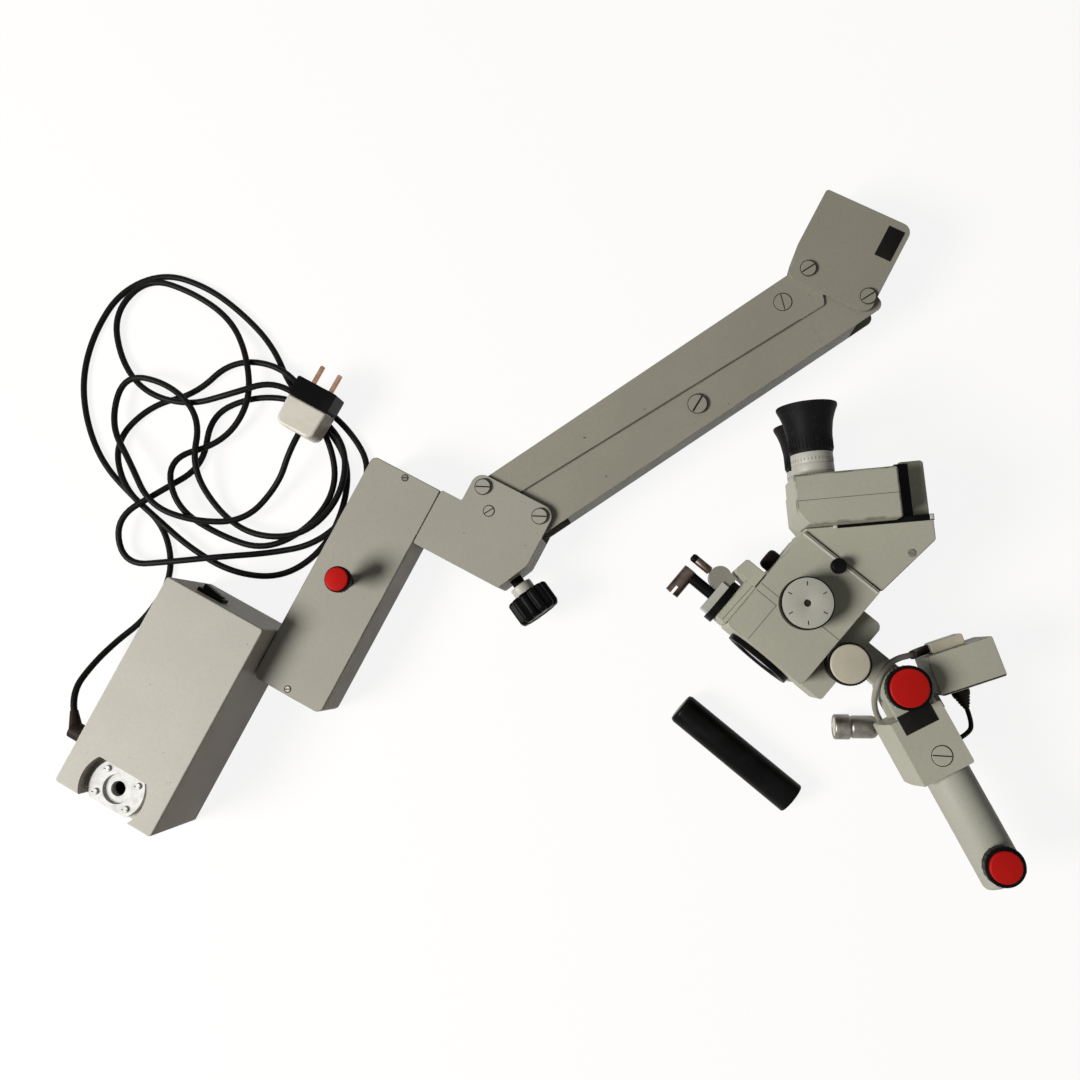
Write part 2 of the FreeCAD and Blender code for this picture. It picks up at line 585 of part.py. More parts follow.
def optical_body():
    left, right = -v.body_left, v.body_wide - v.body_left
    low_y = v.coupling_y - v.body_long
    half = v.body_deep / 2
    outline = [(left, low_y, 4), (right, low_y, 4), (right, v.coupling_y, 2),
               (left, v.coupling_y, 2)]
    solid = plate("optics_outer", outline, -half, "$body_deep")
    shaft_bore = cylinder("optics_dial_bore", 6 + v.running_fit, v.body_deep,
                          at(v.dial_x, v.dial_y, -half))
    light = cylinder("optics_light_path", v.lens_radius - 2, 18,
                     facing(v.dial_x + 3, low_y, 0, (0, 1, 0)))
    screw = cylinder("optics_screw_bore", 3 + v.running_fit, 8, at(-2.1, v.coupling_y - 6, half - 8))
    keep(cut("optics_cut", solid, shaft_bore, light, screw), "optical_housing", HEAD)
    rim = [(v.lens_radius, 0), (v.objective_radius, 0), (v.objective_radius, v.objective_thick, 1),
           (v.lens_radius, v.objective_thick)]
    ring_place = facing(v.dial_x + 3, low_y, 0, (0, -1, 0))
    keep(turned("objective_turned", rim, ring_place), "objective_ring", HEAD)
    lens = [(0, -2), (v.lens_radius - 2, 0), (v.lens_radius, 0), (v.lens_radius, 3), (0, 4)]
    keep(turned("lens_turned", lens, ring_place), "objective_lens", HEAD)
    block_end, block_top = low_y + v.block_reach, low_y + v.block_rise
    block_outline = [(left - v.block_out + 2, block_end, 3), (left, block_end), (left, low_y),
                     (left - v.block_foot, low_y, 2), (left - v.block_foot, block_top - 1),
                     (left - v.block_out, block_top, 3)]
    keep(plate("light_block_body", block_outline, -28, 58), "illumination_block", HEAD)
    side_cap = [(0, 0), (9, 0), (9, 7), (7, 10), (0, 10)]
    keep(turned("side_knob_turned", side_cap, facing(left, low_y + v.filter_rise, -10, (-1, 0, 0))),
         "filter_knob", HEAD)


def magnification_dials():
    """Two dials on one shaft right through the body, turned together."""
    half, top = v.body_deep / 2, v.head_half
    shaft = cylinder("dial_shaft", 6, 2 * half + 4, at(0, 0, -half - 2))
    discs = [shaft]
    for index, sign in enumerate((1, -1)):
        profile = [(0, half + 0.5), (12, half + 0.5), (12, top - v.dial_thick),
                   (v.dial_radius, top - v.dial_thick, 1), (v.dial_radius, top, 1.2),
                   (3, top), (3, top - 2), (0, top - 2)]
        dial = turned(f"dial_{index}", profile, Placement())
        if sign < 0:
            dial.Placement = Placement(Vector(), Rotation(X_AXIS, 180))
        discs.append(dial)
    keep(fuse("dials_all", *discs), "magnification_dials", HEAD.multiply(at(v.dial_x, v.dial_y)))


def accessory():
    """Light-port clamp on the left: disc, plate, round block, sleeve, fitting and a rod."""
    place = HEAD.multiply(facing(-v.body_left - v.block_foot,
                                 v.coupling_y - v.body_long + v.port_rise, v.port_height,
                                 (-1, 0, 0)))
    disc = cylinder("port_disc", "$port_radius", 7, at(0, 0))
    clamp = block("port_plate", 24, 28, 7.5, at(-12, -16, 6.5))
    bridge = block("port_bridge", 20, 17.5, 11.5, at(-10, 5, 6.5))
    dome = cylinder("port_block", 9.5, 20, facing(-10, 14.5, 18, (1, 0, 0)))
    sleeve = cylinder("port_sleeve", 5, 34, at(0, -0.8, 7))
    fitting = cylinder("port_fitting", 6.3, 26, facing(0, 4, 41, (0, -1, 0)))
    mouth = cylinder("port_mouth", 3.5, 12, facing(0, -12, 41, (0, -1, 0)))
    split = block("port_split", 20, 9, 2.4, at(-10, -23, 39.8))
    bore = cylinder("port_rod_bore", 2.2 + v.running_fit, 11, at(0, 13.7, 17))
    solid = fuse("port_all", disc, clamp, bridge, dome, sleeve, fitting)
    keep(cut("port_cut", solid, mouth, split, bore), "port_flange", place)
    rod = turned("port_rod_turned", [(0, 18), (2.2, 18), (2.2, 28), (3.7, 28), (3.7, 48, 1.5),
                                     (0, 48)], at(0, 13.7))
    keep(rod, "port_lever", place)


def binocular():
    base_half = v.base_thick / 2
    base = [(-33.6 + 0.3, 22 + 0.3), (20.8 + 0.3, -32.2 + 0.3, 2), (68.5, 6.5, 4), (68.5, v.seat_y), (-33.6, v.seat_y)]
    keep(plate("base_outer", base, -base_half, "$base_thick"), "binocular_base", EYE)
    hood = plate("hood_outer", [(47.7, v.seat_y), (68.5, v.seat_y), (68.5, 73.7, 3),
                                (47.7, 73.7, 3)], -30, 60)
    keep(hood, "binocular_hood", EYE)
    right = -42 + v.prism_wide
    for side, sign, shift, drop, inset in (("near", 1, 0, 0, 0),
                                           ("far", -1, v.far_shift, v.far_drop, v.far_inset)):
        left, top_y = -42 + inset, v.seat_y + v.prism_tall - drop
        outline = [(left + 8, v.seat_y + 0.5, 2), (right, v.seat_y + 0.5, 2), (right, top_y, 2),
                   (left, top_y, 2), (left, v.seat_y + 12, 3)]
        low = sign * v.prism_mid - v.prism_deep / 2
        keep(plate(f"prism_{side}_outer", outline, low, "$prism_deep"), f"prism_{side}", EYE)
        axis = facing(v.eye_x + shift, top_y, sign * v.eye_half, (0, 1, 0))
        ring = v.eye_ring_radius
        tube = [(0, 0.1), (ring, 0.1), (ring, 3, 0.5), (ring - 1, 3.2), (ring - 1, 3.8),
                (ring, 4), (ring, v.eye_ring_long), (13, v.eye_ring_long), (13, 40), (10, 40),
                (10, 38), (0, 38)]
        keep(turned(f"eyepiece_{side}_turned", tube, axis), f"eyepiece_{side}", EYE)
        low_z, far_z = v.eye_ring_long, v.eye_ring_long + v.cup_long
        cup = [(13, low_z), (17.8, low_z, 0.6), (18.3, far_z - 30), (20.8, far_z - 6),
               (v.cup_flare_radius, far_z, 0.6), (v.cup_flare_radius - 2.5, far_z),
               (17, far_z - 14), (13, far_z - 19)]
        keep(turned(f"eyecup_{side}_turned", cup, axis), f"eyecup_{side}", EYE)
    screw = [(0, -6), (3, -6), (3, 0.5), (6.3, 0.5), (6.3, 8, 1), (0, 8)]
    keep(turned("coupling_screw_turned", screw, Placement()), "coupling_screw",
         HEAD.multiply(at(-2.1, v.coupling_y - 6, v.body_deep / 2)))


# Focusing carrier, tilt joint and the arm that the head hangs from

CARRIER = at(v.tilt_place_x, v.tilt_place_y, v.head_height, v.head_turn)


def focusing():
    right = v.body_wide - v.body_left
    near = right + v.slide_gap
    shift = CARRIER.inverse().multVec(HEAD.multVec(Vector(0, 0, 0)))
    low_y = v.coupling_y - v.body_long + 2.3
    outline = [(near, low_y, 3), (near + v.carrier_wide, low_y, 3),
               (near + v.carrier_wide, low_y + v.carrier_long, 6), (near, low_y + v.carrier_long, 2)]
    slide = plate("carrier_slide", outline, v.carrier_low, "$carrier_top - $carrier_low")
    slide.Placement = Placement(shift, Rotation())
    reach = -shift.x - near - v.carrier_wide + 2
    neck = block("carrier_neck", reach, 24, 16, at(-reach, -12, -8))
    hub = cylinder("carrier_hub", "$tilt_radius", "$hub_thick",
                   at(0, 0, -v.hub_thick / 2))
    bore = cylinder("carrier_bore", v.tilt_shaft_radius + v.running_fit, v.hub_thick,
                    at(0, 0, -v.hub_thick / 2))
    focus = shift + Vector(v.focus_x, v.coupling_y - v.body_long + v.focus_rise, 0)
    focus_bore = cylinder("carrier_focus_bore", 4 + v.running_fit, 60,
                          at(focus.x, focus.y, v.carrier_low - 2))
    keep(cut("carrier_cut", fuse("carrier_all", slide, neck, hub), bore, focus_bore),
         "focus_carrier", CARRIER)
    drum = [(0, v.carrier_low - 6), (8, v.carrier_low - 6), (8, v.carrier_low - 0.5),
            (4, v.carrier_low - 0.5), (4, v.carrier_top + 0.5), (v.focus_neck, v.carrier_top + 4),
            (v.focus_neck, v.body_deep / 2 + 1), (v.focus_radius, v.body_deep / 2 + 1),
            (v.focus_radius, v.focus_top - 2), (v.focus_radius - 1.5, v.focus_top),
            (0, v.focus_top)]
    keep(turned("focus_turned", drum, Placement()), "focus_knob",
         CARRIER.multiply(at(focus.x, focus.y)))


def tilt_joint():
    lug_gap = v.hub_thick / 2 + 0.3
    lugs = []
    for index, low in enumerate((lug_gap, -lug_gap - v.lug_thick)):
        disc = cylinder(f"tilt_lug_{index}", "$tilt_radius", "$lug_thick", at(0, 0, low))
        arm = block(f"tilt_lug_arm_{index}", 28, 2 * v.tilt_radius, "$lug_thick",
                    at(0, -v.tilt_radius, low))
        lugs += [disc, arm]
    outline = [(21, -30, 2), (21, 19.5, 2), (76, 19.5, 2), (76, -30, 2)]
    shell = plate("housing_outer", outline, -24, "$housing_deep")
    bevel = block("housing_bevel", 80, 12, 60, Placement(Vector(10, -25, v.housing_deep - 24),
                  Rotation(X_AXIS, 180 - 8)))
    trimmed = cut("housing_bevelled", shell, bevel)
    shaft_bore = cylinder("housing_shaft_bore", "$tilt_shaft_radius", 60, at(0, 0, -30))
    socket = cylinder("housing_tube_socket", "$tube_radius", 40, facing(40, 0, 0, (1, 0, 0)))
    lamp_foot = block("housing_lamp_foot", 12, 14, 8, at(22, 15, -24))
    keep(cut("housing_cut", fuse("housing_all", trimmed, lamp_foot, *lugs), shaft_bore, socket),
         "arm_housing", TUBE)
    low, high = -lug_gap - v.lug_thick, lug_gap + v.lug_thick
    shaft = [(0, low - 3), (11, low - 3), (11, low), (v.tilt_shaft_radius, low),
             (v.tilt_shaft_radius, high), (3, high), (3, high + 3), (0, high + 3)]
    keep(turned("tilt_shaft_turned", shaft, Placement()), "tilt_shaft", TUBE)
    knob = TUBE.multiply(at(0, 0, high + 3))
    red_knob("tilt_knob", 8, v.tilt_knob_radius, v.tilt_cap_radius, 16, knob)
    inner = v.tube_radius - v.tube_wall
    far = v.tube_end - 40
    tube = [(inner, 0), (v.tube_radius, 0), (v.tube_radius, far, 2), (0, far), (0, far - 4),
            (inner, far - 4)]
    pipe = turned("tube_turned", tube, facing(40, 0, 0, (1, 0, 0)))
    knob_hole = cylinder("tube_knob_hole", 4 + v.running_fit, v.tube_wall + 4,
                         at(v.end_knob_x, -2, inner - 2))
    keep(cut("tube_cut", pipe, knob_hole), "tube_arm", TUBE)
    end = TUBE.multiply(at(v.end_knob_x, -2, v.tube_radius + 0.4))
    red_knob("end_knob", 4, 16, 13, 16, end)


def lamp():
    """Lamp housing beside the tilt joint, with its connector and black lead."""
    place = TUBE.multiply(at(-13.2, 28.3, 0, v.lamp_turn))
    outline = [(0, 0, 3), (0, -v.lamp_wide, 3), (v.lamp_long, -v.lamp_wide, 2),
               (v.lamp_long, 0, 2)]
    keep(plate("lamp_outer", outline[::-1], -24, "$lamp_deep"), "lamp_housing", place)
    cream = block("lamp_socket_block", 28, 9, 18, at(8, 0, -10))
    keep(soften("lamp_socket_round", cream, 2, upright), "lamp_socket", place)
    boot = [(0, 0), (7.5, 0), (7.5, 6, 1), (5.5, 14), (2.6, 18), (0, 18)]
    keep(turned("boot_turned", boot, facing(22, -v.lamp_wide, -8, (0, -1, 0))), "lamp_boot",
         place)


def loose_tube():
    along = facing(v.loose_long / 2, 0, v.loose_radius, (-1, 0, 0))
    radius, wall = v.loose_radius, v.loose_wall
    profile = [(radius - wall, 0), (radius, 0, 0.8), (radius, v.loose_long, 2),
               (0, v.loose_long), (0, v.loose_long - wall), (radius - wall, v.loose_long - wall)]
    keep(turned("loose_turned", profile, along), "black_tube", LOOSE)


# Cords: where each one lies, from the piece that it leaves to the piece on its end

MAINS_ROUTE = [
    (-415.85, -159.93, 42), (-418.42, -143.13, 42), (-410, -119.5, 26), (-396, -97, 9), (-370, -75, 3),
    (-344, -34, 3), (-354, 14, 3), (-389, 44, 3), (-421, 77, 3), (-440, 120, 3), (-446, 166, 3),
    (-435, 211, 3), (-410, 251, 3), (-366, 268, 3), (-321, 252, 3), (-284, 224, 3),
    (-252, 190, 3), (-233, 147, 3), (-201, 114, 3), (-174, 76, 3), (-177, 30, 3), (-198, -12, 3),
    (-237, -37, 3), (-285, -32, 3), (-325, -9, 8), (-360, 21, 10), (-395, 51, 10), (-408, 98, 6),
    (-374, 134, 3), (-328, 144, 3), (-292, 175, 8), (-244, 170, 10), (-211, 136, 10),
    (-175, 107, 3), (-151, 67, 3), (-169, 23, 10), (-203, -6, 10), (-249, -13, 3),
    (-295, -17, 13), (-340, -21, 13), (-392, -24, 8), (-399, 21, 16), (-355, 46, 16),
    (-318, 72, 3), (-313, 123, 3), (-269, 140, 6), (-221, 134, 9), (-192, 97, 9), (-184, 50, 4),
    (-209, 10, 8), (-253, -11, 8), (-298, 4, 6), (-338, 30, 19), (-348, 78, 19), (-297, 93, 9),
    (-268, 131, 16), (-273, 178, 16), (-296, 219, 3), (-334, 246, 6), (-381, 263, 6),
    (-415, 228, 6), (-407, 180, 3), (-377, 144, 10), (-332, 131, 10), (-286, 138, 23),
    (-240, 151, 23), (-203, 121, 13), (-173, 85, 11), (-179, 37, 12), (-212, 2, 15),
    (-260, 1, 15), (-300, 26, 5), (-323, 68, 20), (-315, 116, 20), (-348, 151, 17),
    (-398, 164, 13), (-410, 114, 12), (-383, 74, 22), (-362, 32, 23), (-319, 16, 20),
    (-270, 16, 15), (-238, 51, 16), (-222.2, 80.2, 34), (-214, 95.1, 34),
]
LAMP_ROUTE = [
    (340.75, -104.45, 61), (331.5, -107.55, 61), (324, -109.5, 75), (311, -112, 79.5),
    (301, -118.5, 79.5), (293.5, -134.9, 77), (297, -152.5, 50), (308, -168.5, 25), (326.4, -181.6, 15),
    (347.7, -182.3, 4), (362.3, -166.8, 3), (360.7, -145.9, 3), (344.9, -132.6, 3),
    (326.4, -134, 3), (318, -148, 4), (328, -162, 8), (322.5, -172.5, 11), (311.3, -172.5, 11),
]
PIGTAIL_ROUTE = [
    (371.9, -153.6, 54), (375.7, -165, 54), (375.2, -174.9, 48), (361, -182.2, 48),
]


def tube_along(label, route, diameter):
    """A plain cord: straight runs joined by arcs as large as the runs allow."""
    points = [Vector(*p) for p in route]
    edges, last, radii = [], points[0], []
    for before, here, after in zip(points, points[1:], points[2:]):
        back, on = before - here, after - here
        turn = math.pi - back.getAngle(on)
        reach = 0.45 * min(back.Length, on.Length)
        radius = reach / math.tan(turn / 2)
        back.normalize()
        on.normalize()
        start, end = here + back * reach, here + on * reach
        middle = here + (back + on).normalize() * (radius / math.cos(turn / 2))
        top = middle + (here - middle).normalize() * radius
        edges.append(Part.LineSegment(last, start).toShape())
        edges.append(Part.Arc(start, top, end).toShape())
        radii.append(radius)
        last = end
    edges.append(Part.LineSegment(last, points[-1]).toShape())
    path = Part.Wire(edges)
    ring = Part.Wire(Part.Circle(points[0], points[1] - points[0], diameter / 2).toShape())
    solid = path.makePipeShell([ring], True, False, 2)
    feature = doc.addObject("Part::Feature", label)
    feature.Shape = solid
    expected = math.pi * diameter ** 2 / 4 * path.Length
    print(label, "length", round(path.Length), "volume ratio", round(solid.Volume / expected, 4),
          "tightest radii", [round(r) for r in sorted(radii)[:4]])
    keep(feature, label, Placement())


PLUG = at(-192.5, 138.1, 21, -29)


def mains_plug():
    """Two-pin plug: black base, white cover, round pins."""
    base = [(-21, -19, 3), (21, -19, 3), (21, 0, 2), (-21, 0, 2)]
    solid = plate("plug_base_body", base, 0, 26)
    holes = [cylinder(f"plug_pin_hole_{i}", 2.4, 12, facing(x, -12, 13, (0, 1, 0)))
             for i, x in enumerate((-9.5, 9.5))]
    keep(cut("plug_base_cut", solid, *holes), "plug_base", PLUG)
    cover = [(-20, -48, 8), (20, -48, 8), (21, -19), (-21, -19)]
    shell = plate("plug_cover_body", cover, 0, 26)
    keep(soften("plug_cover_round", shell, 3, flat_at(26)), "plug_cover", PLUG)
    pins = []
    for index, x in enumerate((-9.5, 9.5)):
        shape = [(0, 0), (2.4, 0), (2.4, 31, 1.2), (0, 31)]
        pins.append(turned(f"plug_pin_{index}", shape, facing(x, -12, 13, (0, 1, 0))))
    group = doc.addObject("Part::Compound", "plug_pin_group")
    group.Links = pins
    keep(group, "plug_pins", PLUG)


def cable_connector():
    """Round connector on the end of the lamp cable, with two contact holes."""
    place = facing(311.3, -172.5, 11, (-1, 0, 0))
    body = turned("connector_turned", [(0, 0), (5, 0), (8, 4), (10, 6), (10, 26), (11, 26),
                                       (11, 41, 1), (0, 41)], Placement())
    holes = [cylinder(f"connector_hole_{i}", 3, 8, at(x, 0, 34)) for i, x in enumerate((-5, 5))]
    keep(cut("connector_cut", body, *holes), "cable_connector", place)


# Build

power_case()
back_plate()
mounting_flange()
power_inside()
power_switch()
lead_inlet()
swivel_shaft("box_swivel_shaft", half_wide - v.box_wall - v.swivel_nut_thick, 1, swivel_y, BOX)
swivel_arm()
red_knob("arm_knob", v.arm_knob_stem_radius, v.arm_knob_radius, v.arm_knob_radius - 1,
         v.arm_knob_tall + v.arm_wall, BOX.multiply(at(knob_x, knob_y,
                                                       v.arm_floor_gap + v.arm_tall - v.arm_wall)))
swivel_shaft("bracket_swivel_shaft", arm_right - v.arm_wall - v.swivel_nut_thick, 1,
             bracket_swivel_y, BOX)
joint_bracket()
tension_knob()
spring_arm()
end_bracket()
optical_body()
magnification_dials()
accessory()
binocular()
focusing()
tilt_joint()
lamp()
loose_tube()
mains_plug()
cable_connector()
tube_along("mains_cord", MAINS_ROUTE, v.mains_diameter)
tube_along("lamp_cable", LAMP_ROUTE, v.lamp_cable_diameter)
tube_along("lamp_lead", PIGTAIL_ROUTE, v.pigtail_diameter)

doc.recompute()
os.makedirs("parts", exist_ok=True)
broken = [o.Label for o in doc.Objects if "Invalid" in o.State or "Error" in o.State]
if broken:
    raise RuntimeError("these did not build: " + ", ".join(broken))
for part in parts:
    if part.Shape.isNull() or not part.Shape.isValid():
        raise RuntimeError(part.Label + " has no valid shape")
    part.Shape.exportStep("parts/" + part.Label + ".step")
    print(part.Label, len(part.Shape.Solids), round(part.Shape.Volume))
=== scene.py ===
# %% [markdown]
# A binocular surgical microscope lies in its separate groups on a pale floor: a power box with
# a swivel arm and a spring-balanced arm, the microscope head on its tube arm, and a loose tube.
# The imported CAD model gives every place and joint. This lesson dresses it: first the camera and
# the cords, then the finishes, then the pieces group by group.

# %% Load the frame
import json
import math
import bmesh
import bpy
from mathutils import Matrix, Vector


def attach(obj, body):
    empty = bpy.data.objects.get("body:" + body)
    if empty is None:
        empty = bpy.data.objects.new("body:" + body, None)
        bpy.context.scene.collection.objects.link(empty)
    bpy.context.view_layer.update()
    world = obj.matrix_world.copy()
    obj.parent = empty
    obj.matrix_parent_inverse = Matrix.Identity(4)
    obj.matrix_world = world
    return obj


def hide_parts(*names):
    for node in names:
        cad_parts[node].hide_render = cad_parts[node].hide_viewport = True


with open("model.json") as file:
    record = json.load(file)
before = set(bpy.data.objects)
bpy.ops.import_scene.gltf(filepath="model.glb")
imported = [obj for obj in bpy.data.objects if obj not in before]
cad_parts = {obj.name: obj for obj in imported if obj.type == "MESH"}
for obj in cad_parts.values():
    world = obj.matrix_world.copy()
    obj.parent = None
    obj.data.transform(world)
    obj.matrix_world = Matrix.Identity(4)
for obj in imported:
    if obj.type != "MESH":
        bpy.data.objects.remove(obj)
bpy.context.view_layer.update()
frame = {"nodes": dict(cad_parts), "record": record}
nodes = frame["nodes"]
home = {node: body for body, names in frame["record"]["behaviour"]["bodies"].items()
        for node in names}

# %% [markdown]
# The photograph was taken from above, tipped a little: upright edges lean away from one point
# below and to the right of the middle of the picture. A camera with a turned frame and no shift
# gives the same lean. The point that the uprights meet at gives the direction straight down, and
# the other two axes are made square to it. Sizes are written in millimetres and turned to metres
# here.

# %% Camera
MM = 0.001
PICTURE = 1080
FOCAL = 1040
PLUMB_POINT = (100, -115)
SENSOR = 36


def metres(*values):
    """A point in metres from millimetres."""
    return Vector(values) * MM


up = -Vector((*PLUMB_POINT, -FOCAL)).normalized()
right = (Vector((1, 0, 0)) - up * up.x).normalized()
ahead = up.cross(right)
camera = bpy.data.objects.new("camera", bpy.data.cameras.new("camera"))
camera.data.sensor_width = SENSOR
camera.data.lens = SENSOR * FOCAL / PICTURE
camera.data.clip_start = 0.05
camera.data.clip_end = 20
camera.matrix_world = Matrix.Translation(metres(101.1, -109.6, 961.7)) \
    @ Matrix((right, ahead, up)).to_4x4()
bpy.context.collection.objects.link(camera)
bpy.context.scene.camera = camera
print("camera height", round(camera.matrix_world.translation.z, 3))

# %% [markdown]
# Node maths is easier to read as plain arithmetic. A Wire holds one socket, and adding or
# multiplying wires adds the Math nodes.

# %% Wires


class Wire:
    """A socket of a tree; arithmetic on it adds Math nodes."""

    def __init__(self, nodes, socket):
        self.nodes, self.socket = nodes, socket

    def __add__(self, other):
        return self.nodes.maths("ADD", self, other)

    def __mul__(self, other):
        return self.nodes.maths("MULTIPLY", self, other)

    __radd__ = __add__
    __rmul__ = __mul__


print("wires add and multiply")

# %% [markdown]
# Nodes holds a tree and makes every other node by one method: its settings first, then what its
# sockets hold. The finishes are such trees, and so is the sky further down.

# %% Node trees


class Nodes:
    """An emptied node tree and the one method that fills it."""

    def __init__(self, tree):
        self.tree = tree
        tree.nodes.clear()

    def node(self, kind, inputs=None, output=0, stops=None, **settings):
        made = self.tree.nodes.new(kind)
        for key, value in settings.items():
            setattr(made, key, value)
        if stops:
            ramp = made.color_ramp
            while len(ramp.elements) < len(stops):
                ramp.elements.new(0.5)
            for element, (place, value) in zip(ramp.elements, stops):
                element.position = place
                element.color = (value, value, value, 1)
        for key, value in (inputs or {}).items():
            self.plug(made.inputs[key], value)
        return Wire(self, made.outputs[output]) if made.outputs else None

    def plug(self, socket, value):
        if isinstance(value, Wire):
            self.tree.links.new(value.socket, socket)
        else:
            socket.default_value = value

    def maths(self, operation, *values):
        return self.node("ShaderNodeMath", dict(enumerate(values)), operation=operation)

    def backdrop_rays(self):
        """1 for rays that see the white background: from the camera, off gloss, through glass."""
        seen = self.node("ShaderNodeLightPath", output="Is Camera Ray")
        for ray in ("Is Glossy Ray", "Is Transmission Ray"):
            seen = self.maths("MAXIMUM", seen, self.node("ShaderNodeLightPath", output=ray))
        return seen


print("one method makes every node")

# %% [markdown]
# A Finish is a material: a tree with a Principled surface. Its noise always starts from the Object
# coordinates of a piece, so a pattern has its real size and stays on the piece when it moves.

# %% Finishes


class Finish(Nodes):
    """One procedural material with a Principled surface."""

    def __init__(self, name, **plain):
        self.material = bpy.data.materials.new(name)
        self.material.use_nodes = True
        super().__init__(self.material.node_tree)
        self.surface = self.tree.nodes.new("ShaderNodeBsdfPrincipled")
        self.exit = self.tree.nodes.new("ShaderNodeOutputMaterial")
        self.tree.links.new(self.surface.outputs[0], self.exit.inputs["Surface"])
        self.feed(**plain)

    def feed(self, **sockets):
        """Set or link sockets of the surface, written with _ for a space."""
        for key, value in sockets.items():
            self.plug(self.surface.inputs[key.replace("_", " ")], value)

    def spot(self):
        return self.node("ShaderNodeTexCoord", output="Object")

    def noise(self, scale, detail=3, stops=None, where=None):
        value = self.node("ShaderNodeTexNoise", {"Vector": where or self.spot(),
                          "Scale": scale, "Detail": detail}, output="Fac")
        return self.node("ShaderNodeValToRGB", {"Fac": value}, stops=stops) if stops else value

    def blend(self, share, first, second):
        return self.node("ShaderNodeMix", {0: share, 6: first, 7: second}, output=2,
                         data_type="RGBA")

    def relief(self, height, depth, strength=1.0):
        """Bump with a depth in metres."""
        self.feed(Normal=self.node("ShaderNodeBump", {"Height": height, "Distance": depth,
                                                      "Strength": strength}))


def shade(colour, factor=1.0):
    return (*[min(1, part * factor) for part in colour], 1)


print("finishes can be written")


# %% [markdown]
# The enamel on this instrument is satin, grey beige and old. It is slightly uneven all over, has
# a fine orange peel, small dark specks, and is rubbed down to a brownish grey along its edges.
# The edge strips carry an attribute that the pieces write, so wear follows the real edges.

# %% Enamel


def enamel(name, colour, specks=0.5, rub=0.5):
    finish = Finish(name)
    cloud = finish.noise(14, 4, [(0.3, 0.0), (0.7, 1.0)])
    base = finish.blend(cloud, shade(colour, 0.95), shade(colour, 1.04))
    grain = finish.noise(420, 2, [(0.35, 0.0), (0.65, 1.0)])
    base = finish.blend(grain * 0.35, base, shade(colour, 0.86))
    dots = finish.noise(240, 3, [(0.735, 0.0), (0.76, 1.0)])
    base = finish.blend(dots * specks, base, (0.07, 0.055, 0.045, 1))
    edge = finish.node("ShaderNodeAttribute", output="Fac", attribute_name="edge")
    patchy = finish.noise(75, 5, [(0.47, 0.0), (0.6, 1.0)])
    base = finish.blend(edge * (patchy * rub + 0.12), base, (0.10, 0.085, 0.07, 1))
    sheen = finish.noise(60, 3)
    finish.feed(Base_Color=base, Roughness=sheen * 0.16 + 0.40, Specular_IOR_Level=0.2)
    finish.relief(finish.noise(1300, 2), 0.00006, 0.6)
    return finish


box_paint = enamel("box_enamel", (0.44, 0.425, 0.375), 0.55)
arm_paint = enamel("arm_enamel", (0.35, 0.338, 0.288), 0.6)
spring_paint = enamel("spring_arm_enamel", (0.29, 0.28, 0.228), 0.9, 1.0)
end_paint = enamel("end_bracket_enamel", (0.285, 0.275, 0.222), 0.8, 1.0)
head_paint = enamel("head_enamel", (0.41, 0.41, 0.33), 0.35)
pale_paint = enamel("tube_arm_enamel", (0.40, 0.40, 0.34), 0.3)
dial_paint = enamel("dial_face_enamel", (0.42, 0.42, 0.36), 0.2)
print("enamels", 7)

# %% [markdown]
# Metal, plastic and rubber each get one recipe. Metal is brushed by a noise that is stretched
# along one direction; plastic has a fine moulded grain and a few rubbed patches; rubber is dull,
# with dust lying on it.

# %% Metal, plastic, rubber and glass


def metal(name, colour, rough=0.32, tarnish=(0.2, 0.15, 0.1), stained=0.3, metallic=1.0):
    finish = Finish(name, Metallic=metallic)
    stretched = finish.node("ShaderNodeMapping", {"Vector": finish.spot(),
                                                  "Scale": (3000, 200, 200)})
    lines = finish.noise(1, 2, where=stretched)
    stains = finish.noise(110, 4, [(0.45, 0.0), (0.7, 1.0)])
    finish.feed(Base_Color=finish.blend(stains * stained, shade(colour), shade(tarnish)),
                Roughness=lines * 0.2 + (rough - 0.1))
    finish.relief(lines, 0.00003, 0.5)
    return finish


def plastic(name, colour, rough=0.38, grain=0.00004, rubbed=1.5, shine=0.4):
    finish = Finish(name)
    patches = finish.noise(55, 5, [(0.5, 0.0), (0.72, 1.0)])
    base = finish.blend(patches, shade(colour), shade(colour, rubbed))
    finish.feed(Base_Color=base, Roughness=finish.noise(35, 3) * 0.2 + (rough - 0.1),
                Specular_IOR_Level=shine)
    finish.relief(finish.noise(1800, 1), grain, 0.6)
    return finish


def rubber(name, colour, rough=0.55):
    finish = Finish(name)
    dust = finish.noise(260, 4, [(0.56, 0.0), (0.72, 1.0)])
    finish.feed(Base_Color=finish.blend(dust * 0.1, shade(colour), (0.09, 0.085, 0.075, 1)),
                Roughness=finish.noise(40, 3) * 0.2 + (rough - 0.1), Specular_IOR_Level=0.07)
    finish.relief(finish.noise(700, 2), 0.00006, 0.6)
    return finish


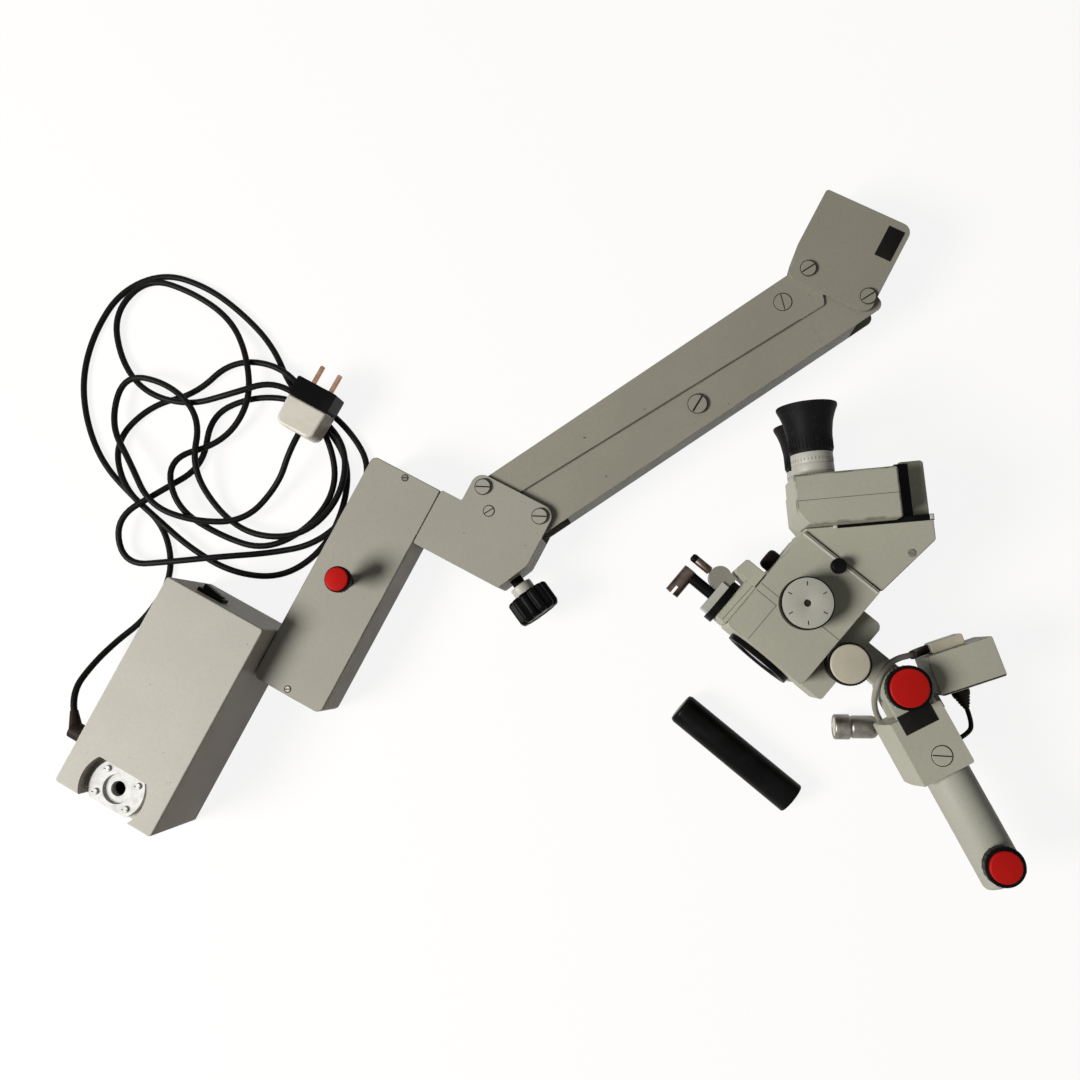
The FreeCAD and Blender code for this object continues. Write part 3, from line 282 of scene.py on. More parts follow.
bare_steel = metal("bare_steel", (0.27, 0.255, 0.225), 0.4, (0.08, 0.065, 0.05), 0.6)
bright_metal = metal("bright_flange_metal", (0.5, 0.5, 0.49), 0.6, (0.25, 0.24, 0.22), 0.5, 0.2)
brown_metal = metal("browned_metal", (0.12, 0.09, 0.075), 0.4, (0.03, 0.02, 0.015), 0.8)
brass = metal("pin_brass", (0.50, 0.30, 0.20), 0.3, (0.15, 0.07, 0.04), 0.6)
copper = metal("copper_winding", (0.55, 0.28, 0.13), 0.4)
slot_metal = plastic("dull_grey_metal", (0.21, 0.205, 0.17), 0.45)
# Black plastic, also used for bars of painted shade by the prism housings.
black = plastic("black_plastic", (0.003, 0.0028, 0.0028), 0.34, rubbed=2.2, shine=0.05)
black_plate = plastic("black_plate", (0.009, 0.0085, 0.008), 0.42, rubbed=1.8, shine=0.05)
red = plastic("red_plastic", (0.43, 0.010, 0.008), 0.34, 0.00002, 1.12, 0.06)
cream = plastic("cream_plastic", (0.47, 0.435, 0.34), 0.42, rubbed=0.92)
white_plastic = plastic("aged_white_plastic", (0.60, 0.575, 0.50), 0.42, rubbed=0.9)
ring_paint = plastic("ring_grey", (0.43, 0.425, 0.37), 0.42, rubbed=0.85)
# Ink for print, also used for painted shade in slots and slits.
ink_and_painted_shade = plastic("engraved_mark_and_painted_shade", (0.02, 0.019, 0.016), 0.5, shine=0.1)
seam = plastic("dark_seam", (0.095, 0.09, 0.07), 0.6)
# Pale paint for a painted highlight on a lit edge.
painted_edge_highlight = plastic("painted_edge_highlight", (0.60, 0.59, 0.53), 0.35, rubbed=0.9)
soft_black = rubber("eyecup_rubber", (0.006, 0.0055, 0.006))
sheath = rubber("black_cord_sheath", (0.005, 0.005, 0.005), 0.42)
grey_sheath = rubber("grey_cable_sheath", (0.30, 0.285, 0.24), 0.45)
# Brown rubber, also used for the sleeve of painted shade on the lamp cable.
brown_rubber_and_painted_shade = rubber("brown_boot_rubber_and_painted_shade", (0.018, 0.011, 0.009), 0.5)
glass = Finish("coated_glass", Base_Color=(0.012, 0.014, 0.02, 1), Roughness=0.05, IOR=1.45,
               Transmission_Weight=0.3, Specular_IOR_Level=0.03)
print("finishes", len(bpy.data.materials))

# %% [markdown]
# The cords come first: they need only a round section and a route. Each follows the route of its
# CAD solid: the same points, here as the control points of one smooth spline that cuts inside
# every corner. Four points of the lamp cable lie up to 2.5 mm higher than in the CAD route, so
# that the spline clears the focus carrier when the head tilts. The long mains cord lies in a heap
# of loose loops. It leaves the elbow plug in the box's side and ends in the two-pin plug.

# %% Cords
MAINS_ROUTE = [
    (-415.85, -159.93, 42), (-418.42, -143.13, 42), (-410, -119.5, 26), (-396, -97, 9),
    (-370, -75, 3), (-344, -34, 3), (-354, 14, 3), (-389, 44, 3), (-421, 77, 3), (-440, 120, 3),
    (-446, 166, 3), (-435, 211, 3), (-410, 251, 3), (-366, 268, 3), (-321, 252, 3),
    (-284, 224, 3), (-252, 190, 3), (-233, 147, 3), (-201, 114, 3), (-174, 76, 3), (-177, 30, 3),
    (-198, -12, 3), (-237, -37, 3), (-285, -32, 3), (-325, -9, 8), (-360, 21, 10),
    (-395, 51, 10), (-408, 98, 6), (-374, 134, 3), (-328, 144, 3), (-292, 175, 8),
    (-244, 170, 10), (-211, 136, 10), (-175, 107, 3), (-151, 67, 3), (-169, 23, 10),
    (-203, -6, 10), (-249, -13, 3), (-295, -17, 13), (-340, -21, 13), (-392, -24, 8),
    (-399, 21, 16), (-355, 46, 16), (-318, 72, 3), (-313, 123, 3), (-269, 140, 6),
    (-221, 134, 9), (-192, 97, 9), (-184, 50, 4), (-209, 10, 8), (-253, -11, 8), (-298, 4, 6),
    (-338, 30, 19), (-348, 78, 19), (-297, 93, 9), (-268, 131, 16), (-273, 178, 16),
    (-296, 219, 3), (-334, 246, 6), (-381, 263, 6), (-415, 228, 6), (-407, 180, 3),
    (-377, 144, 10), (-332, 131, 10), (-286, 138, 23), (-240, 151, 23), (-203, 121, 13),
    (-173, 85, 11), (-179, 37, 12), (-212, 2, 15), (-260, 1, 15), (-300, 26, 5),
    (-323, 68, 20), (-315, 116, 20), (-348, 151, 17), (-398, 164, 13), (-410, 114, 12),
    (-383, 74, 22), (-362, 32, 23), (-319, 16, 20), (-270, 16, 15), (-238, 51, 16),
    (-222.2, 80.2, 34), (-214, 95.1, 34),
]
LAMP_ROUTE = [
    (340.75, -104.45, 61), (331.5, -107.55, 61), (324, -109.5, 76.5), (311, -112, 82),
    (301, -118.5, 82), (293.5, -134.9, 78.5), (297, -152.5, 50), (308, -168.5, 25),
    (326.4, -181.6, 15), (347.7, -182.3, 4), (362.3, -166.8, 3), (360.7, -145.9, 3),
    (344.9, -132.6, 3), (326.4, -134, 3), (318, -148, 4), (328, -162, 8), (322.5, -172.5, 11),
    (311.3, -172.5, 11),
]
LEAD_ROUTE = [(371.9, -153.6, 54), (375.7, -165, 54), (375.2, -174.9, 48), (361, -182.2, 48)]


def lay_cord(name, route, diameter, finish):
    """A round cord along one smooth spline."""
    data = bpy.data.curves.new(name, "CURVE")
    data.dimensions = "3D"
    spline = data.splines.new("NURBS")
    spline.points.add(len(route) - 1)
    for point, place in zip(spline.points, route):
        point.co = (*metres(*place), 1)
    spline.order_u = 3
    spline.use_endpoint_u = True
    data.resolution_u = 8
    data.bevel_depth = diameter * MM / 2
    data.bevel_resolution = 4
    data.use_fill_caps = True
    data.materials.append(finish.material)
    cord = bpy.data.objects.new(name, data)
    bpy.context.collection.objects.link(cord)
    return cord


mains = lay_cord("mains_cord_laid", MAINS_ROUTE, 6, sheath)
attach(mains, "power_box")
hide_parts("mains_cord")
lamp_cable = lay_cord("lamp_cable_laid", LAMP_ROUTE, 5, grey_sheath)
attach(lamp_cable, "head_arm")
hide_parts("lamp_cable")
# The brown sleeve on the first stretch of the lamp cable, by the lamp, is painted shade: the grey
# cable lies in shadow there.
sleeve = lay_cord("lamp_cable_sleeve", LAMP_ROUTE[:3], 7.5, brown_rubber_and_painted_shade)
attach(sleeve, "head_arm")
lamp_lead = lay_cord("lamp_lead_laid", LEAD_ROUTE, 4, sheath)
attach(lamp_lead, "head_arm")
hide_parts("lamp_lead")
print("cord control points", len(MAINS_ROUTE), len(LAMP_ROUTE), len(LEAD_ROUTE))

# %% [markdown]
# Each group of the instrument lies turned on the floor, so each gets a frame of its own: along
# the box, along a link, along the head. A piece is made in its group's frame with simple numbers
# and then its mesh is moved, so the finished object still sits at the origin.

# %% Frames of the groups


def turned_place(x, y, z=0.0, turn=0.0):
    return Matrix.Translation(metres(x, y, z)) @ Matrix.Rotation(math.radians(turn), 4, "Z")


def facing(x, y, z, direction):
    """A place whose own Z looks along a direction."""
    look = Vector((0, 0, 1)).rotation_difference(Vector(direction)).to_matrix().to_4x4()
    return Matrix.Translation(metres(x, y, z)) @ look


BOX = turned_place(-312.6, -152.6, 0, -28.13)
PIVOT_X, PIVOT_Y = 153.9, 299.0
PIVOT_PAIR = 57.3
LINK_LONG = 345
LINK_TURN = 61.55
LINK = BOX @ turned_place(PIVOT_X, PIVOT_Y, 0, LINK_TURN)
END = BOX @ turned_place(PIVOT_X + LINK_LONG * math.cos(math.radians(LINK_TURN)),
                         PIVOT_Y + LINK_LONG * math.sin(math.radians(LINK_TURN)))
HEAD = turned_place(272.0, -28.8, 62, -40.5)
EYE = HEAD @ turned_place(0, 0, 0, 45)
TUBE = turned_place(315.4, -135.9, 62, -62.9)
LAMP = TUBE @ turned_place(-13.2, 28.3, 0, 81.4)
LOOSE = turned_place(184.1, -195.2, 0, -39.6)
print("end bracket stands at", [round(part, 3) for part in END.translation])

# %% [markdown]
# Every piece ends the same way: its mesh gets a finish, a body to ride on, and the CAD nodes that
# it stands for. Faces are smooth except where they meet at an angle.

# %% Finishing a piece
SHARP_ANGLE = math.radians(35)


def keep(name, shape, finish, node, replaced=(), where=None):
    """Turn a bmesh into a placed, finished piece that rides with a node's body."""
    mesh = bpy.data.meshes.new(name)
    shape.to_mesh(mesh)
    shape.free()
    if where is not None:
        mesh.transform(where)
    mesh.shade_smooth()
    mesh.set_sharp_from_angle(angle=SHARP_ANGLE)
    for one in finish if isinstance(finish, (list, tuple)) else [finish]:
        mesh.materials.append(one.material)
    piece = bpy.data.objects.new(name, mesh)
    bpy.context.collection.objects.link(piece)
    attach(piece, home[node])
    if replaced:
        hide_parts(*replaced)
    return piece


# %% [markdown]
# The folded and cast boxes keep their CAD shape. A copy is merged, its flat faces are joined, and
# its sharp edges are rounded by half a millimetre or so, since a real painted edge always catches
# a line of light. The new strips are marked in the edge attribute for the wear in the enamel.

# %% Rounded copies of the CAD boxes
MERGE = 0.01 * MM


def merged(node):
    """A bmesh of a CAD node whose loose triangles are joined."""
    shape = bmesh.new()
    shape.from_mesh(nodes[node].data)
    bmesh.ops.remove_doubles(shape, verts=shape.verts, dist=MERGE)
    return shape


def softened(node, finish, width):
    """A merged copy of a CAD node with rounded, marked edges."""
    shape = merged(node)
    bmesh.ops.dissolve_limit(shape, angle_limit=math.radians(0.6), verts=shape.verts,
                             edges=shape.edges)
    strips = set()
    if width:
        sharp = [e for e in shape.edges if e.is_manifold
                 and e.calc_face_angle(0) > math.radians(38)]
        made = bmesh.ops.bevel(shape, geom=sharp, offset=width * MM, segments=2, profile=0.5,
                               affect="EDGES", clamp_overlap=True)
        strips = set(made["faces"])
    edge = shape.loops.layers.float.new("edge")
    for face in shape.faces:
        for corner in face.loops:
            corner[edge] = 1.0 if face in strips else 0.0
    piece = keep(node + "_painted", shape, finish, node, replaced=(node,))
    if width:
        level = piece.modifiers.new("even_light", "WEIGHTED_NORMAL")
        level.keep_sharp = True
        level.weight = 60
    return piece


PAINTED = {
    "power_case": (box_paint, 0.8), "power_back_plate": (box_paint, 0.5),
    "swivel_arm": (arm_paint, 0.7), "swivel_arm_cover": (arm_paint, 0.8),
    "joint_bracket": (arm_paint, 0.8), "upper_link": (spring_paint, 0.6),
    "lower_link": (spring_paint, 0.6), "end_bracket": (end_paint, 0.9),
    "arm_housing": (head_paint, 0.8), "lamp_housing": (head_paint, 0.6),
    "focus_carrier": (head_paint, 0.7), "optical_housing": (head_paint, 0.8),
    "illumination_block": (head_paint, 0.6), "binocular_base": (head_paint, 0.8),
    "binocular_hood": (head_paint, 0.8), "prism_near": (head_paint, 2.0),
    "prism_far": (head_paint, 1.2), "mounting_flange": (bright_metal, 0.4),
    "switch_frame": (black, 0.4), "switch_rocker": (black, 0.4), "plug_base": (black, 0.8),
    "plug_cover": (white_plastic, 1.0), "lamp_socket": (cream, 0.8),
    "mains_transformer": (copper, 0), "balance_spring": (bare_steel, 0),
    "box_swivel_shaft": (bare_steel, 0), "bracket_swivel_shaft": (bare_steel, 0),
    "tilt_shaft": (bare_steel, 0), "plug_pins": (brass, 0),
}
skins = {node: softened(node, *how) for node, how in PAINTED.items()}
print("softened pieces", len(skins), "faces", sum(len(s.data.polygons) for s in skins.values()))

# %% [markdown]
# Knobs, rings, dials and tubes are turned parts: a profile of radius and height spun about an
# axis. Each corner of the profile is eased so that it shines as an edge, and a count of flutes
# presses hollows into the rim between two heights, as on a moulded knob.

# %% Turned pieces


def eased(profile, radius):
    """Replace each inner corner of a profile by three points on a small curve."""
    points = [Vector(p) for p in profile]
    result = [points[0]]
    for before, here, after in zip(points, points[1:], points[2:]):
        back, on = before - here, after - here
        reach = min(radius, 0.4 * back.length, 0.4 * on.length)
        start, end = here + back.normalized() * reach, here + on.normalized() * reach
        result += [start, (start + 2 * here + end) / 4, end]
    return result + [points[-1]]


def spun(profile, ease=0.5, segments=72, flutes=None):
    """A closed bmesh of a profile in millimetres spun about Z."""
    shape = bmesh.new()
    rings = []
    for radius, height in eased(profile, ease):
        if radius < 0.01:
            rings.append([shape.verts.new(metres(0, 0, height))])
            continue
        ring = []
        for step in range(segments):
            angle = 2 * math.pi * step / segments
            reach = radius
            if flutes and flutes[2] < height < flutes[3] and radius > flutes[4]:
                wave = 0.5 + 0.5 * math.cos(flutes[0] * angle)
                reach -= flutes[1] * wave ** 2
            ring.append(shape.verts.new(metres(reach * math.cos(angle),
                                               reach * math.sin(angle), height)))
        rings.append(ring)
    closed = profile[0] == profile[-1]
    pairs = list(zip(rings, rings[1:]))
    for low, high in pairs:
        for step in range(segments):
            following = (step + 1) % segments
            corners = [low[step % len(low)], low[following % len(low)],
                       high[following % len(high)], high[step % len(high)]]
            corners = list(dict.fromkeys(corners))
            if len(corners) > 2:
                shape.faces.new(corners)
    if closed:
        bmesh.ops.remove_doubles(shape, verts=shape.verts, dist=0.000001)
    bmesh.ops.recalc_face_normals(shape, faces=shape.faces)
    return shape


def join(shape, other):
    """Add one bmesh to another and free it."""
    spare = bpy.data.meshes.new("spare")
    other.to_mesh(spare)
    other.free()
    shape.from_mesh(spare)
    bpy.data.meshes.remove(spare)


def turned_piece(name, profile, finish, node, where, replaced=True, **how):
    return keep(name, spun(profile, **how), finish, node, where=where,
                replaced=(node,) if replaced else ())


print("a profile can be spun")


# %% [markdown]
# The red lock knobs are a black fluted skirt on a stem with a red disc let into it. The same
# two profiles serve the arm, the tilt joint and the end of the tube arm.

# %% Red lock knobs


def lock_knob(node, stem, skirt, cap, tall, where, flutes):
    low = tall - 13
    body = [(0, 0), (stem, 0), (stem, low), (skirt - 1, low), (skirt, low + 1.5),
            (skirt, tall - 3), (cap + 0.4, tall - 2.4), (cap, tall - 3), (cap, tall - 5),
            (0, tall - 5)]
    turned_piece(node + "_skirt", body, black, node, where, ease=0.5, segments=96,
                 flutes=(flutes, 0.8, low + 1, tall - 3.4, cap))
    disc = [(0, tall - 4.9), (cap - 0.15, tall - 4.9), (cap - 0.15, tall - 0.9),
            (cap - 1.0, tall - 0.1), (0, tall)]
    turned_piece(node + "_disc", disc, red, node + "_cap", where, ease=0.7, segments=96)


KNOB_SPOT = (86, 168.2)
lock_knob("arm_knob", 5, 11.4, 10.4, 38, BOX @ turned_place(*KNOB_SPOT, 55), 24)
lock_knob("tilt_knob", 8, 18.2, 15.8, 16, TUBE @ turned_place(0, 0, 22.9), 30)
lock_knob("end_knob", 4, 16, 13, 16, TUBE @ turned_place(155, -2, 19), 18)
print("lock knobs", 3)

# %% [markdown]
# The head's turned parts: the magnification dial on each side of the body, the focus knob, the
# objective ring and lens, the eyepieces with their graduated rings and the rubber eyecups.

# %% Turned parts of the head
DIAL = HEAD @ turned_place(-3.3, -55.4)
DIAL_PROFILE = [(0, 42.5), (12, 42.5), (12, 48), (20.4, 48), (21.3, 49), (21.3, 60.6),
                (20.6, 61.5), (20.3, 61.5), (20.2, 61.8), (3, 61.8), (2.8, 60), (0, 60)]
shape = spun(DIAL_PROFILE, 0.25, 96)
below = spun(DIAL_PROFILE, 0.25, 96)
bmesh.ops.rotate(below, verts=below.verts, cent=(0, 0, 0), matrix=Matrix.Rotation(math.pi, 3, "X"))
join(shape, below)
for face in shape.faces:
    middle = face.calc_center_median() / MM
    radius = math.hypot(middle.x, middle.y)
    face.material_index = 1 if radius > 20.1 and abs(middle.z) > 47 else 0
keep("magnification_dial_pair", shape, [dial_paint, black], "magnification_dials", where=DIAL,
     replaced=("magnification_dials",))
turned_piece("dial_middle", [(0, 59.9), (2.7, 59.9), (2.7, 60.3), (0, 60.3)], ink_and_painted_shade,
             "magnification_dials", DIAL, replaced=False, ease=0.1, segments=32)
FOCUS = HEAD @ turned_place(53.1, -70.3)
turned_piece("focus_knob_rim", [(0, -36), (8, -36), (8, -30.5), (4, -30.5), (4, 18.5),
             (15.5, 22), (15.5, 43), (17.4, 43), (17.4, 50.4), (16.6, 51.4), (15.8, 51.4),
             (15.8, 49), (0, 49)], black, "focus_knob", FOCUS, ease=0.4, segments=96,
             flutes=(48, 0.35, 43.2, 51, 17.1))
turned_piece("focus_knob_face", [(0, 48.8), (15.7, 48.8), (15.7, 51.4), (14.8, 52), (0, 52)],
             cream, "focus_knob", FOCUS, replaced=False, ease=0.5, segments=96)
RING = HEAD @ facing(-0.3, -107.3, 0, (0, -1, 0))
turned_piece("objective_rim", [(24, 0), (29.5, 0), (29.5, 5), (27, 5.2), (24, 3.6), (24, 0)],
             black, "objective_ring", RING, ease=0.4, segments=96)
turned_piece("objective_glass", [(0, -1.9), (21.9, -0.1), (24, -0.1), (24, 2.9), (16, 3.5),
             (8, 3.9), (0, 4)], glass, "objective_lens", RING, ease=0.3, segments=64)
turned_piece("side_knob", [(0, 0), (9, 0), (9, 6.5), (7.5, 9.4), (5, 10), (0, 10)], brown_rubber_and_painted_shade,
             "filter_knob", HEAD @ facing(-40.5, -37.5, -10, (-1, 0, 0)), ease=1.2)
turned_piece("coupling_knob", [(0, -6), (3, -6), (3, 0.5), (6.3, 0.5), (6.3, 6.6), (5, 8),
             (0, 8)], black, "coupling_screw", HEAD @ turned_place(-2.1, -14.3, 42),
             ease=0.8, segments=48)
EYEPIECES = {"near": EYE @ facing(-21, 66.5, 33, (0, 1, 0)),
             "far": EYE @ facing(-15, 64, -33, (0, 1, 0))}
for side, axis in EYEPIECES.items():
    barrel = [(0, 0.1), (17.2, 0.1), (17.2, 2.7), (16.3, 3.0), (16.3, 3.6), (17.2, 3.9),
              (17.2, 10.2), (16.6, 10.5), (16.6, 11.0), (17.2, 11.3), (17.2, 19.8), (13, 20),
              (13, 40), (10, 40), (10, 38), (0, 38)]
    turned_piece(f"eyepiece_{side}_barrel", barrel, ring_paint, f"eyepiece_{side}", axis,
                 ease=0.3, segments=96)
    cup = [(13.05, 20), (17.6, 20), (17.9, 22), (18.2, 30), (18.9, 38), (20.2, 46),
           (22.4, 53), (25.0, 58.6), (25.0, 60.5), (23.4, 60.3), (20.3, 53.5), (17, 46.5),
           (13.05, 41.5), (13.05, 20)]
    turned_piece(f"eyecup_{side}_soft", cup, soft_black, f"eyecup_{side}", axis, ease=1.6,
                 segments=96)
print("head pieces turned")

# %% [markdown]
# The other turned parts: the tube arm with its closed end, the loose black tube, the tension
# knob, the elbow plug and its socket, the lamp's boot and the round cable connector.

# %% Other turned parts
turned_piece("tube_arm_pipe", [(16.1, 0), (18.6, 0), (18.6, 100), (18.6, 131), (17.4, 133.6),
             (14, 135), (0, 135), (0, 131), (16.1, 131), (16.1, 0)], pale_paint, "tube_arm",
             TUBE @ facing(40, 0, 0, (1, 0, 0)), ease=0.8, segments=96)
turned_piece("loose_black_tube", [(12, 0), (13.4, 0), (14, 0.8), (14, 121), (12.8, 123.6),
             (11, 124), (0, 124), (0, 122), (12, 122), (12, 0)], black, "black_tube",
             LOOSE @ facing(62, 0, 14, (-1, 0, 0)), ease=0.6, segments=96)
KNOB_AXIS = Vector((math.cos(math.radians(-26)), math.sin(math.radians(-26)), 0))
TENSION = BOX @ facing(221.5 - 6.8 - 10 * KNOB_AXIS.x, 226.3 + 14.5 - 10 * KNOB_AXIS.y, 32.5,
                       KNOB_AXIS)
turned_piece("tension_knob_grip", [(0, 0.3), (5.8, 0.3), (5.8, 22), (10, 22), (10, 26), (18.5, 26),
             (20.5, 28), (20.5, 46.5), (18.4, 49.6), (15.5, 50), (14.5, 49.2), (0, 49.2)],
             black, "tension_knob", TENSION, ease=1.0, segments=144,
             flutes=(12, 3.0, 25, 50.5, 15.6))
turned_piece("tension_knob_collar", [(6.05, 17), (10.3, 17), (10.3, 25.6), (6.05, 25.6),
             (6.05, 17)], ring_paint, "tension_knob", TENSION, replaced=False, ease=0.5)
INLET = BOX @ facing(-50, -70, 42, (-1, 0, 0))
turned_piece("lead_socket_ring", [(6, -3), (7.5, -3), (7.5, 0), (11.5, 0), (11.5, 1.6),
             (9.5, 4), (6, 4), (6, -3)], bare_steel, "lead_socket", INLET, ease=0.5)
softened("lead_plug", brown_rubber_and_painted_shade, 0.5)
BOOT = LAMP @ facing(22, -34, -8, (0, -1, 0))
turned_piece("lamp_boot_soft", [(0, 0), (7.5, 0), (7.5, 5), (6.6, 8), (5.6, 8.6), (5.9, 10),
             (4.7, 11), (5.0, 12.6), (3.9, 13.4), (4.1, 15), (2.8, 16), (2.6, 18), (0, 18)],
             brown_rubber_and_painted_shade, "lamp_boot", BOOT, ease=0.5)
PLUG_END = facing(311.3, -172.5, 11, (-1, 0, 0))
turned_piece("cable_connector_shell", [(0, 0), (4.6, 0), (6.6, 3), (9.2, 5.6), (10, 8),
             (10, 25), (9, 26.5), (11, 28), (11, 40), (10.2, 41), (8.8, 41), (8.6, 39.2),
             (0, 39.2)], bare_steel, "cable_connector", PLUG_END, ease=0.4, segments=64)
turned_piece("cable_connector_face", [(0, 39), (8.5, 39), (8.5, 40.6), (0, 40.6)], white_plastic,
             "cable_connector", PLUG_END, replaced=False, ease=0.3)
print("other turned parts made")

# %% [markdown]
# Screws, tick marks, ribs and graduations repeat, so Geometry Nodes place them. A Layout is one
# tree with named inputs for its sizes. It ends by making its instances real and painting them.

# %% Layout trees


class Layout:
    """A Geometry Nodes tree with named inputs for its sizes."""

    def __init__(self, name, **sizes):
        self.tree = bpy.data.node_groups.new(name, "GeometryNodeTree")
        panel = self.tree.interface
        panel.new_socket("Geometry", in_out="INPUT", socket_type="NodeSocketGeometry")
        panel.new_socket("Geometry", in_out="OUTPUT", socket_type="NodeSocketGeometry")
        kinds = {int: "NodeSocketInt", float: "NodeSocketFloat"}
        for key, value in sizes.items():
            socket = panel.new_socket(key, in_out="INPUT",
                                      socket_type=kinds.get(type(value), "NodeSocketObject"))
            if value is not None:
                socket.default_value = value
        self.inlet = self.tree.nodes.new("NodeGroupInput")
        self.outlet = self.tree.nodes.new("NodeGroupOutput")

    def node(self, kind, inputs=None, **settings):
        made = self.tree.nodes.new(kind)
        for key, value in settings.items():
            setattr(made, key, value)
        for key, value in (inputs or {}).items():
            if isinstance(value, bpy.types.NodeSocket):
                self.tree.links.new(value, made.inputs[key])
            else:
                made.inputs[key].default_value = value
        return made

    def size(self, key):
        return self.inlet.outputs[key]

    def close(self, geometry, finish):
        real = self.node("GeometryNodeRealizeInstances", {0: geometry})
        painted = self.node("GeometryNodeSetMaterial", {"Geometry": real.outputs[0]})
        painted.inputs["Material"].default_value = finish.material
        self.tree.links.new(painted.outputs[0], self.outlet.inputs[0])
        return self.tree


print("layout trees can be written")

# %% [markdown]
# A tree runs on an object that holds a few points. The result is made a plain mesh before it
# joins the model, and the object that ran the tree is removed.

# %% From a tree to a plain piece


def grown(name, tree, points, sizes, finish, node, where):
    """Run a tree on some points and keep the result as a plain placed mesh."""
    seed = bpy.data.meshes.new(name + "_seed")
    seed.from_pydata([tuple(metres(*p)) for p in points], [], [])
    maker = bpy.data.objects.new(name + "_maker", seed)
    bpy.context.collection.objects.link(maker)
    step = maker.modifiers.new("layout", "NODES")
    step.node_group = tree
    for item in tree.interface.items_tree:
        if item.in_out == "INPUT" and item.name in sizes:
            step[item.identifier] = sizes[item.name]
    seen = maker.evaluated_get(bpy.context.evaluated_depsgraph_get())
    mesh = bpy.data.meshes.new_from_object(seen)
    shape = bmesh.new()
    shape.from_mesh(mesh)
    bpy.data.objects.remove(maker)
    bpy.data.meshes.remove(seed)
    bpy.data.meshes.remove(mesh)
    return keep(name, shape, finish, node, where=where)


print("trees can be grown")

# %% [markdown]
# The dial has six ticks, the eyepieces have graduated rings and the eyecups have ribs. They are
# all one tree: a small block on each point of a circle, turned outwards.

# %% A ring of marks


def ring_of_marks(finish):
    tree = Layout("ring_of_marks_" + finish.material.name, count=6, radius=0.016, long=0.004,
                  wide=0.0006, tall=0.0003, height=0.0)
    circle = tree.node("GeometryNodeMeshCircle", {"Vertices": tree.size("count"),
                                                  "Radius": tree.size("radius")})
    spread = tree.node("ShaderNodeCombineXYZ", {"X": tree.size("long"), "Y": tree.size("wide"),
                                                "Z": tree.size("tall")})
    mark = tree.node("GeometryNodeMeshCube", {"Size": spread.outputs[0]})
    away = tree.node("GeometryNodeInputPosition")
    turn = tree.node("FunctionNodeAlignEulerToVector", {"Vector": away.outputs[0]}, axis="X")
    rise = tree.node("ShaderNodeCombineXYZ", {"Z": tree.size("height")})
    placed = tree.node("GeometryNodeInstanceOnPoints", {"Points": circle.outputs["Mesh"],
                       "Instance": mark.outputs["Mesh"], "Rotation": turn.outputs[0]})
    lifted = tree.node("GeometryNodeTranslateInstances", {"Instances": placed.outputs[0],
                       "Translation": rise.outputs[0], "Local Space": False})
    return tree.close(lifted.outputs[0], finish)


ink_ring = ring_of_marks(ink_and_painted_shade)
rubber_ring = ring_of_marks(soft_black)


def marks(name, tree, finish, node, where, count, radius, long, wide, tall, height):
    sizes = {"count": count, "radius": radius * MM, "long": long * MM, "wide": wide * MM,
             "tall": tall * MM, "height": height * MM}
    return grown(name, tree, [(0, 0, 0)], sizes, finish, node, where)


marks("dial_ticks", ink_ring, ink_and_painted_shade, "magnification_dials", DIAL @ turned_place(0, 0, 0, 130.5),
      6, 15.6, 3.4, 0.8, 0.12, 61.85)
for side, axis in EYEPIECES.items():
    marks(f"eyepiece_{side}_scale_low", ink_ring, ink_and_painted_shade, f"eyepiece_{side}", axis,
          40, 17.2, 0.12, 0.35, 1.5, 1.6)
    marks(f"eyepiece_{side}_scale_high", ink_ring, ink_and_painted_shade, f"eyepiece_{side}", axis,
          36, 17.2, 0.12, 0.35, 2.4, 14)
    marks(f"eyecup_{side}_ribs", rubber_ring, soft_black, f"eyecup_{side}", axis,
          36, 18.0, 1.0, 0.9, 13, 29)
print("rings of marks", 7)

# %% [markdown]
# The slotted caps on the pivots are one shape used again and again: a low disc with a slot
# milled across it. It is built from two half discs and a floor, which keeps its faces few.

# %% One slotted cap


def slotted(radius, tall, wide, deep):
    """A disc with a slot: two half discs joined by a lower floor."""
    shape = bmesh.new()
    steps = 20
    for side in (1, -1):
        start = math.asin(wide / 2 / radius)
        rim = []
        for step in range(steps + 1):
            angle = start + (math.pi - 2 * start) * step / steps
            rim.append((radius * math.cos(angle), side * radius * math.sin(angle)))
        low = [shape.verts.new(metres(x, y, 0)) for x, y in rim]
        high = [shape.verts.new(metres(x, y, tall - 0.3)) for x, y in rim]
        top = [shape.verts.new(metres(x * (1 - 0.4 / radius),
                                      side * (wide / 2 + 0.1 + (abs(y) - wide / 2)
                                              * (1 - 0.4 / radius)), tall))
               for x, y in rim]
        count = len(rim)
        for lower, upper in ((low, high), (high, top)):
            for step in range(count):
                after = (step + 1) % count
                shape.faces.new([lower[step], lower[after], upper[after], upper[step]])
        shape.faces.new(top)
        shape.faces.new(low)
    floor = bmesh.ops.create_cube(shape, size=1)["verts"]
    for vertex in floor:
        vertex.co = Vector((vertex.co.x * 1.9 * radius, vertex.co.y * wide,
                            (vertex.co.z + 0.5) * (tall - deep))) * MM
    bmesh.ops.recalc_face_normals(shape, faces=shape.faces)
    return shape


print("a slotted cap can be made")

# %% [markdown]
# Around each cap runs a thin dark ring, and a dark line in the slot paints the shade in it. Both
# show from far away, where the gap alone would be lost.

# %% Outlines of the caps


